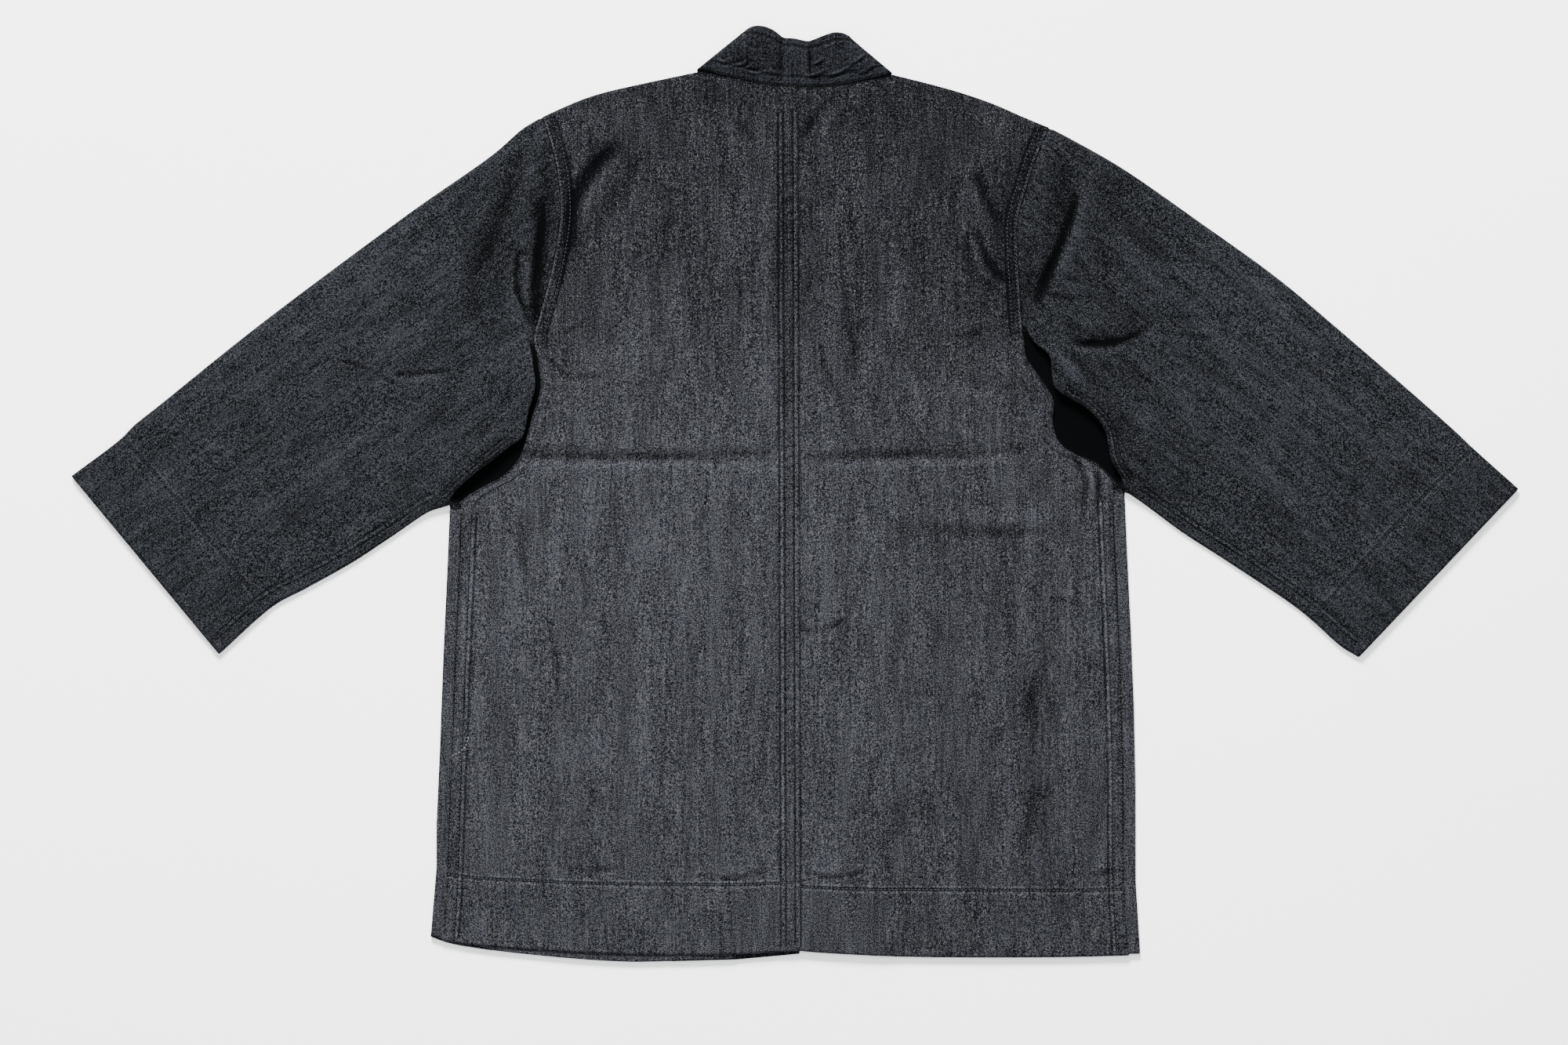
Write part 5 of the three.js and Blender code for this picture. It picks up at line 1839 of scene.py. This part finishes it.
@dataclass
class Sleeve:
    """One sleeve: a flattened tube, pleated under itself beside the armhole."""

    half: Half
    surface: ClothSurface
    body: ClothSurface
    finish: Denim
    thread: Material
    EDGE_SHARE = 0.03  # of the girth, over which a folded edge rounds off
    UNDER_STOPS = (((0, 0.03), 0.005), ((0.05, 0.95), 0.025), ((0.97, 1), 0.005))
    LEAST_HEIGHT = 1.3  # of the top, above the surface
    CREASE_START = 0.06  # share of the way across, by which the creases are whole
    HEM_STEP = 0.004  # share of the length over which the cuff's hem steps up
    UNDER_ROWS = (3.0, 9.5)  # from the lower edge to its rows of stitches
    POCKET_START = 1.2  # row of the armhole where the rolled seam begins
    POCKET_ROWS = 3.4  # from the pleat's edge to the middle of its rows
    POCKET_RINGS = 6  # rings of the pleat, nearest the flat, that the rolled seam marks
    # A painted highlight along the felled band at the sleeve's lower edge.
    EDGE_HIGHLIGHT = SeamShading(3.7, 0.26, 0.4, 1.5)

    def _edge_line(self) -> PlanLine:
        """The sleeve's visible edge at the armhole, by row of its table."""
        return PlanLine.through([(row.edge_x, row.edge_y) for row in self.half.armhole])

    def _columns(self) -> Array:
        """Spaces the top's columns.

        Returns:
            Their places, counted in rows of the armhole table.
        """
        steps = np.linalg.norm(np.diff(self._edge_line().rows, axis=0), axis=1)
        limits = np.full(len(steps), COLUMN_STEP)
        limits[[0, -1]] = SEAM_STEP
        stretches = [
            np.linspace(k, k + 1, max(2, math.ceil(step / limit)), endpoint=False)
            for k, (step, limit) in enumerate(zip(steps, limits))
        ]
        return np.append(np.concatenate(stretches), len(steps))

    def _edge_lift(self, us: Array) -> Array:
        """How far a folded edge has risen at shares of the way across."""
        near = np.clip(np.minimum(us, 1 - us) / self.EDGE_SHARE, 0, 1)
        return 0.5 * np.sqrt(1 - (1 - near) ** 2)

    def _heights(self, plan: Array, lifts: Array, crease_share: Array) -> tuple[Array, Array]:
        """Raises the top over the plan.

        Args:
            plan: The plan points, by ring and column.
            lifts: The share of the sleeve's height at each.
            crease_share: The share of the creases at each.

        Returns:
            The heights, and what the creases add to them.
        """
        flat = plan.reshape(-1, 2)
        folded = self.surface.folded(flat).reshape(plan.shape[:2])
        creased = self.surface.creased(flat).reshape(plan.shape[:2]) * crease_share
        return np.maximum(lifts * folded + creased, self.LEAST_HEIGHT), creased

    def _hem_share(self, rows: Rows) -> float:
        """The share of one edge of the sleeve at which the cuff's hem starts."""
        return 1 - CUFF_HEM_DEPTH / PlanLine.through(rows).length()

    def plan(self, line: Array, us: Array, vs: Array) -> Array:
        """Lays one layer of the sleeve out on the plan.

        Args:
            line: Where the layer starts beside the armhole, a point for each column.
            us: Shares across the sleeve, from its lower edge to its fold.
            vs: Shares along it, to the cuff.

        Returns:
            The plan points, by ring and column.
        """
        half = self.half
        under_hem, fold_hem = map(self._hem_share, (half.sleeve_under, half.sleeve_fold))
        start = boundary([half.sleeve_under], np.interp(vs, (0, fold_hem, 1), (0, under_hem, 1)))
        end = boundary([half.sleeve_fold], vs)
        high = boundary([tuple(reversed(half.cuff))], us)
        return patch(start, end, line, high, us, vs)

    def _top_line(self, columns: Array) -> tuple[Array, Array, Array]:
        """Finds where the top starts beside the armhole.

        Args:
            columns: The columns' places, counted in rows of the armhole table.

        Returns:
            The visible edge, its pleat and the line that the flat starts from.
        """
        rows = self.half.armhole
        edge = self._edge_line().at_rows(columns)
        pleat = np.interp(columns, np.arange(len(rows)), [row.pleat for row in rows])
        lap = moved_sideways(edge, -self.half.sign * PLEAT_LAP * np.minimum(1, pleat))
        return edge, pleat, lap

    def _pleat_stages(self, columns: Array, lifts: Array) -> Array:
        """Folds the top's pleat.

        Args:
            columns: The columns' places, counted in rows of the armhole table.
            lifts: The share of the height at each column.

        Returns:
            The points, by stage and column.
        """
        half = self.half
        edge, pleat, _ = self._top_line(columns)
        body_line = PlanLine.through(armhole_line(half)).at_rows(columns)
        formed = np.minimum(1, pleat)
        tucked = np.maximum(0, pleat - 1)
        offsets = -half.sign * mix(SEAM_GAP, PLEAT[0].past + SEAM_GAP, formed)
        sewn = moved_sideways(body_line, offsets)
        body_top = lifts * self.body.folded(sewn)
        sleeve_top = lifts * self.surface.folded(edge)
        stages = []
        for number, stage in enumerate(PLEAT):
            past = stage.past + (SEAM_GAP if number == 0 else 0) + tucked * stage.tuck
            line = edge if stage.across else body_line
            stepped = moved_sideways(line, -half.sign * past)
            if stage.floor is not None:
                step_z = np.full(len(columns), stage.floor)
            else:
                step_z = (sleeve_top if stage.across else body_top) - stage.below
            plain = mix(sewn, edge, stage.ramp)
            plain_z = mix(body_top, sleeve_top, stage.ramp)
            plan = mix(plain, stepped, formed[:, None])
            stages.append(np.column_stack([plan, mix(plain_z, step_z, formed)]))
        return np.array(stages)

    def _underside(self, edge: Array, vs: Array) -> tuple[Array, Array]:
        """Lays the underside out, flat on the surface.

        Args:
            edge: The top's visible edge, whose ends the underside meets.
            vs: Shares along the sleeve.

        Returns:
            The underside's points by ring and column, and those of its pleat by
            stage and column, both in the columns' order round the tube.
        """
        us = np.concatenate([even_stops(stops, [step]) for stops, step in self.UNDER_STOPS])
        seam = boundary([self.half.front_armhole], us)
        under_edge = seam + np.array([self.half.sign * UNDER_LAP, 0])
        under_edge[[0, -1]] = edge[[0, -1]]
        plan = self.plan(under_edge, us, vs)[:, 1:-1]
        lift = 0.5 - self._edge_lift(us)[1:-1]
        z = lift[None] * self.surface.folded(plan.reshape(-1, 2)).reshape(plan.shape[:2])
        ramps = np.array([stage.ramp for stage in PLEAT])
        stage_plan = mix(seam[None, 1:-1], under_edge[None, 1:-1], ramps[:, None, None])
        stage_z = lift[None] * self.surface.folded(seam[1:-1])[None] * np.ones((len(PLEAT), 1))
        return np.dstack([plan, z])[:, ::-1], np.dstack([stage_plan, stage_z])[:, ::-1]

    def _marks(self, points: Array, creased: Array, pleat_rings: int, pleat: Array) -> Array:
        """Works out the marks at the tube's points.

        Args:
            points: The points, by ring and column.
            creased: What the creases add to the height of the top's flat part.
            pleat_rings: How many rings the pleat has.
            pleat: How strongly each column of the top is pleated.

        Returns:
            The marks at each point.
        """
        half = self.half
        column_count = len(pleat)
        flat = points[..., :2].reshape(-1, 2)
        # The tone, with broad painted shade and highlights.
        fade = 0.5 + self.surface.painted_shading(flat).reshape(points.shape[:2])
        # Painted shade: darker towards the body, and darker all over on the wearer's right sleeve,
        # most near the body.
        near_body = 1 - smoothstep(points[..., 0] * half.sign, 250, 420)
        fade -= 0.03 * near_body + (0.03 + 0.05 * near_body if half.side is Side.RIGHT else 0)
        # Painted shade in the creases' troughs and a painted highlight on their ridges.
        fade[pleat_rings:, :column_count] += crease_shade(creased)
        # Painted shade, near black, on the pleat's hidden rings, and a painted dark line where the
        # sleeve meets the body without a pleat.
        stage = np.linspace(0, len(PLEAT), pleat_rings, endpoint=False)[:, None]
        hidden = smoothstep(stage, 0.8, 1.6) * (1 - smoothstep(stage, 6.2, 7.4))
        pleated = np.minimum(1, pleat)[None]
        joint = (1 - smoothstep(stage, 0.6, 2.4)) * (1 - pleated)
        fade[:pleat_rings, :column_count] -= 2.2 * pleated * hidden + 0.5 * joint

        cuff_row, *under_rows = self.stitch_lines()
        middle = (under_rows[0][::4] + under_rows[1][::4]) / 2
        under = beside_rows(middle, flat).reshape(fade.shape)
        cuff = beside_rows(cuff_row[::3], flat).reshape(fade.shape)
        pocket = beside_rows(self.pocket_rows(), flat).reshape(fade.shape)
        pocket[: pleat_rings - self.POCKET_RINGS] = NO_ROW
        on_top = (np.arange(points.shape[1]) < column_count)[None]
        # A painted highlight along the felled band at the lower edge.
        fade += self.EDGE_HIGHLIGHT.at(np.where(on_top, -half.sign * under, NO_ROW))
        return marks_of(
            fade,
            lengthwise=np.where(on_top, under, NO_ROW),
            crosswise=cuff,
            rolled=np.where(on_top, pocket, NO_ROW),
        )

    def _grid(self) -> ClothGrid:
        """Joins the top, the underside and the pleat into one tube.

        Returns:
            The tube's grid, with the relief of the cuff's hem.
        """
        columns = self._columns()
        edge, pleat, lap = self._top_line(columns)
        top_us = lengths_along(edge) / total_length(edge)
        fold_length = PlanLine.through(self.half.sleeve_fold).length()
        hem = self._hem_share(self.half.sleeve_fold)
        steps = [ROW_STEP / fold_length] * 3
        vs = even_stops([SLEEVE_START, hem - self.HEM_STEP, hem, 1], steps)
        top_plan = self.plan(lap, top_us, vs)
        top_lift = 0.5 + self._edge_lift(top_us)
        inner_share = smoothstep(np.minimum(top_us, 1 - top_us), 0, self.CREASE_START)
        top_z, creased = self._heights(top_plan, top_lift[None], inner_share[None])
        under, under_stages = self._underside(edge, vs)
        rings = np.concatenate([np.dstack([top_plan, top_z]), under], axis=1)
        top_stages = self._pleat_stages(columns, top_lift)
        stages = np.concatenate([top_stages, under_stages], axis=1)
        pleat_rings = refined_rings(stages, rings[:2])
        points = np.concatenate([pleat_rings, rings])

        hemmed = HEM_RELIEF * smoothstep(vs, hem - self.HEM_STEP, hem)
        relief = np.zeros(points.shape[:2])
        relief[len(pleat_rings) :, 1 : len(columns) - 1] = hemmed[:, None]
        marks = self._marks(points, creased, len(pleat_rings), pleat)
        return ClothGrid(points, relief, marks, side=-self.half.sign, round=True)

    def pocket_rows(self) -> Array:
        """Finds the rolled seam along the sleeve's edge where it is pleated.

        Returns:
            The middle of its rows of stitches, on the plan.
        """
        places = np.linspace(self.POCKET_START, self.half.pocket_end, 60)
        edge = self._edge_line().at_rows(places)
        return moved_sideways(edge, -self.half.sign * self.POCKET_ROWS)

    def stitch_lines(self) -> list[Array]:
        """Finds every row of stitches on the top of the sleeve.

        Returns:
            A plan line for the cuff's row and then for each row at the lower edge.
        """
        vs = np.linspace(SLEEVE_START, 1, 200)
        edge, _, lap = self._top_line(self._columns())
        us = lengths_along(edge) / total_length(edge)
        plan = self.plan(lap, us, vs)
        fold_length = PlanLine.through(self.half.sleeve_fold).length()
        hem_row = np.argmin(np.abs(vs - (1 - (CUFF_HEM_DEPTH - HEM_INSET) / fold_length)))
        lines = [plan[hem_row, 3:-3]]
        for distance in self.UNDER_ROWS:
            share = distance / np.linalg.norm(np.diff(plan[:, [0, -1]], axis=1)[:, 0], axis=1)
            column = np.array([np.interp(s, us, np.arange(len(us))) for s in share])
            low = np.floor(column).astype(int)
            part = (column - low)[:, None]
            index = np.arange(len(vs))
            line = plan[index, low] * (1 - part) + plan[index, low + 1] * part
            lines.append(line[4:-3])
        return lines

    def build(self) -> Piece:
        """Makes the sleeve, its stitches and their finishes.

        Returns:
            The sleeve.
        """
        half = self.half
        lines = self.stitch_lines()
        self.surface.puckers = [Pucker(thinned(line)) for line in lines]
        cloth = cloth_object(f"sleeve_{half.word}_cloth", self._grid())
        cloth.data.materials.append(self.finish.make())
        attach(cloth, "root")
        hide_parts(f"sleeve_{half.word}")
        stitches = StitchedPiece(cloth, self.thread)
        for line in lines:
            stitches.add(line)
        stitches.build()
        return cloth


def refined_rings(stages: Array, following: Array, steps: int = 4) -> Array:
    """Rounds a few rings off into many.

    Args:
        stages: The rings to pass through.
        following: The two rings that come after them.
        steps: How many rings each becomes.

    Returns:
        The finer rings, up to but without the first following one.
    """
    points = np.concatenate([2 * stages[:1] - stages[1:2], stages, following])
    rings = []
    for k in range(len(stages)):
        p0, p1, p2, p3 = points[k : k + 4]
        slope = 0.5 * (p2 - p0) * 0.7
        next_slope = 0.5 * (p3 - p1) * 0.7
        for t in np.arange(steps) / steps:
            rings.append(
                (2 * t**3 - 3 * t**2 + 1) * p1 + (t**3 - 2 * t**2 + t) * slope
                + (3 * t**2 - 2 * t**3) * p2 + (t**3 - t**2) * next_slope
            )
    return np.array(rings)


@dataclass
class CollarBand:
    """The band down both front edges and round the neck, folded double."""

    finish: Denim
    thread: Material
    SHARES = 51
    STITCH_ROWS = (0.02, 0.2, 0.86)
    PITCH = 2.8
    FINE_STEP = 1.1  # between the sections of the raised part
    RAISED_FROM = 4.0  # height above which the band's rows of stitches are sewn
    STRIP_TONE = 0.11  # of the lighter strip between the first two rows
    CREST_WEAR, TROUGH_WEAR = 0.75, 0.35  # how strongly the creases paint a highlight on a crest and shade in a trough

    def _sections(self) -> tuple[Array, Array]:
        """Spaces sections along the band.

        Returns:
            The sewn and the free edge at each on the plan, and both edges' heights.
        """
        table = np.array(BAND_RUN, float)
        steps = np.linalg.norm(np.diff(table[:, :2], axis=0), axis=1)
        raised = (table[:-1, 4] > 0) | (table[1:, 4] > 0)
        stretches = []
        for k, step in enumerate(steps):
            limit = self.FINE_STEP if raised[k] else COARSE_STEP
            count = max(4, math.ceil(step / limit))
            stretches.append(np.linspace(k, k + 1, count, endpoint=False))
        places = np.append(np.concatenate(stretches), len(steps))
        sections = PlanLine(table).at_rows(places)
        return sections[:, :4], np.maximum(sections[:, 4:], 0)

    def _surface(self, shares: Array) -> tuple[Array, Array]:
        """Raises the band's outer face.

        Args:
            shares: Shares across the band.

        Returns:
            The face's points by section and column, and what the creases add.
        """
        edges, heights = self._sections()
        plan = mix(edges[:, None, :2], edges[:, None, 2:], shares[None, :, None])
        z = mix(heights[:, :1], heights[:, 1:], shares[None])
        arch = 4 * shares * (1 - shares) * BAND_BULGE
        raised = smoothstep(heights[:, :1], 2.4, 5.0)
        z = z + raised * arch[None] * heights[:, 1:]
        surface = ClothSurface(0.0, False, (), COLLAR_CREASES)
        creased = surface.creased(plan.reshape(-1, 2)).reshape(z.shape) * raised
        creased *= smoothstep(np.minimum(shares, 1 - shares), 0, 0.08)[None]
        for row in self.STITCH_ROWS:
            creased -= 0.3 * raised * np.exp(-(((shares[None] - row) / 0.014) ** 2))
        return np.dstack([plan, z + creased]), creased

    def _grid(self, shares: Array) -> ClothGrid:
        """Lays the band's outer face out.

        Args:
            shares: Shares across the band.

        Returns:
            The face's grid.
        """
        points, creased = self._surface(shares)
        width = np.linalg.norm(points[:, 0] - points[:, -1], axis=1)[:, None]
        rows = width[..., None] * (shares[None, :, None] - np.array(self.STITCH_ROWS))
        nearest = np.take_along_axis(rows, np.abs(rows).argmin(axis=2)[..., None], axis=2)[..., 0]
        strip = self.STRIP_TONE * (1 - smoothstep(shares, 0.17, 0.2))[None]
        flat_part = 0.05 * (1 - smoothstep(np.abs(points[..., 0]), 9, 12))
        # Painted highlights on the puckers' crests and painted shade in their troughs.
        pucker_shading = np.where(creased > 0, self.CREST_WEAR, self.TROUGH_WEAR)
        marks = marks_of(0.5 + pucker_shading * creased + strip + flat_part, crosswise=nearest)
        return ClothGrid(points, np.zeros(creased.shape), marks, side=-1, thickness=BAND_CLOTH)

    def build(self) -> Piece:
        """Makes the band, its stitches and their finishes.

        Returns:
            The band.
        """
        grid = self._grid(np.linspace(0, 1, self.SHARES))
        cloth = cloth_object("collar_band_cloth", grid, folded=True)
        cloth.data.materials.append(self.finish.make())
        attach(cloth, "root")
        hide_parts("collar_band")
        stitches = StitchedPiece(cloth, self.thread)
        on_top = grid.points[:, 0, 2] > self.RAISED_FROM
        for row in self.STITCH_ROWS:
            column = round(row * (self.SHARES - 1))
            stitches.add(grid.points[on_top, column, :2], pitch=self.PITCH)
        stitches.build()
        return cloth


# ---- The studio ---------------------------------------------------------------


class Lamp(NamedTuple):
    """A soft square box of light that faces the jacket."""

    name: str
    place: Triple
    size: float
    power: float  # in watts
    colour: Triple


@dataclass(frozen=True)
class Studio:
    """A pale floor, soft light and a camera straight above."""

    view_centre: tuple[float, float] = (-9.46, -24.3)
    view_width: float = 1352.0
    camera_height: float = 4200.0
    sensor: float = 36.0
    floor_dark: Triple = (0.93, 0.935, 0.945)
    floor_light: Triple = (0.96, 0.962, 0.966)
    world_colour: Triple = (0.95, 0.97, 1.0)
    world_strength: float = 0.75
    lamps: tuple[Lamp, ...] = (
        Lamp("key", (-900, 4600, 2800), 1500, 1875.0, (1.0, 0.99, 0.97)),
        Lamp("overhead", (0, -100, 2600), 2400, 90.0, (0.98, 0.99, 1.0)),
    )

    def build(self) -> None:
        """Makes the floor, the world, the lights and the camera."""
        self._floor()
        self._world()
        for lamp in self.lamps:
            self._light(lamp)
        self._camera()

    def _floor(self) -> None:
        """Lays the floor, which isn't part of the jacket."""
        bpy.ops.mesh.primitive_plane_add(size=9, location=(0, 0, -0.0004))
        floor = bpy.context.object
        floor.name = "floor"
        graph = Graph("pale_floor")
        cloud = graph.noise(graph.place(), 3.0)
        colour = graph.ramp(cloud, self.floor_dark, self.floor_light)
        floor.data.materials.append(graph.finished({"Base Color": colour, "Roughness": 0.9}))

    def _world(self) -> None:
        """Fills the shadows with plain light."""
        world = bpy.data.worlds.new("studio")
        world.use_nodes = True
        background = world.node_tree.nodes["Background"]
        background.inputs["Color"].default_value = (*self.world_colour, 1)
        background.inputs["Strength"].default_value = self.world_strength
        bpy.context.scene.world = world

    def _light(self, lamp: Lamp) -> None:
        """Hangs a soft box.

        Args:
            lamp: What it is and where it hangs.
        """
        data = bpy.data.lights.new(lamp.name, "AREA")
        data.shape = "SQUARE"
        data.size = lamp.size * MM
        data.energy = lamp.power
        data.color = lamp.colour
        made = bpy.data.objects.new(lamp.name, data)
        made.location = Vector(lamp.place) * MM
        made.rotation_euler = (-made.location).to_track_quat("-Z", "Y").to_euler()
        bpy.context.scene.collection.objects.link(made)

    def _camera(self) -> None:
        """Sets the camera straight above the middle of the view."""
        data = bpy.data.cameras.new("camera")
        data.sensor_width = self.sensor
        data.lens = self.sensor * self.camera_height / self.view_width
        data.clip_end = 100
        camera = bpy.data.objects.new("camera", data)
        camera.location = Vector((*self.view_centre, self.camera_height)) * MM
        bpy.context.scene.collection.objects.link(camera)
        bpy.context.scene.camera = camera


# The darkest and the lightest tone of each denim and each thread.
BODY_TONES = ((0.0005, 0.0006, 0.001), (0.044, 0.0465, 0.0535))
SLEEVE_TONES = ((0.0003, 0.0004, 0.0006), (0.0215, 0.0238, 0.0278))
COLLAR_TONES = ((0.0002, 0.0003, 0.0005), (0.0135, 0.015, 0.018))
BODY_THREAD_TONES = ((0.006, 0.007, 0.008), (0.052, 0.056, 0.062))
SLEEVE_THREAD_TONES = ((0.003, 0.0035, 0.004), (0.03, 0.033, 0.037))
COLLAR_THREAD_TONES = ((0.0008, 0.001, 0.0012), (0.006, 0.007, 0.008))
TACK_THREAD_TONES = ((0.05, 0.05, 0.052), (0.2, 0.2, 0.2))


def main() -> None:
    """Builds the jacket's pieces in order, then the studio."""
    body_thread = Thread("body_thread", *BODY_THREAD_TONES).make()
    sleeve_thread = Thread("sleeve_thread", *SLEEVE_THREAD_TONES).make()
    collar_thread = Thread("dark_thread", *COLLAR_THREAD_TONES).make()
    tack_thread = Thread("tack_thread", *TACK_THREAD_TONES).make()
    body_creases = BODY_CREASES + ripples(BODY_RIPPLES)
    pieces: list[Front | Back | Sleeve | CollarBand] = []
    for half in (LEFT, RIGHT):
        body = ClothSurface(BODY_HEIGHT, True, BODY_FOLDS, body_creases, BODY_PAINTED_SHADING)
        arm = ClothSurface(SLEEVE_HEIGHT, False, SLEEVE_FOLDS, SLEEVE_CREASES, SLEEVE_PAINTED_SHADING)
        turn = half.sign * SLEEVE_GRAIN
        names = f"body_denim_{half.word}", f"sleeve_denim_{half.word}"
        body_denim = Denim(names[0], "body_denim", *BODY_TONES, contrast=0.86)
        sleeve_denim = Denim(names[1], "sleeve_denim", *SLEEVE_TONES, turn, contrast=1.25)
        pieces.append(Front(half, body, body_denim))
        pieces.append(Back(half, body, body_denim, body_thread, tack_thread))
        pieces.append(Sleeve(half, arm, body, sleeve_denim, sleeve_thread))
    collar_denim = Denim("collar_denim", "collar_denim", *COLLAR_TONES, contrast=1.6)
    pieces.append(CollarBand(collar_denim, collar_thread))
    for piece in pieces:
        made = piece.build()
        log.info("%s: %d faces", made.name, len(made.data.polygons))
    Studio().build()


if __name__ == "__main__":
    logging.basicConfig(level=logging.INFO)
    main()
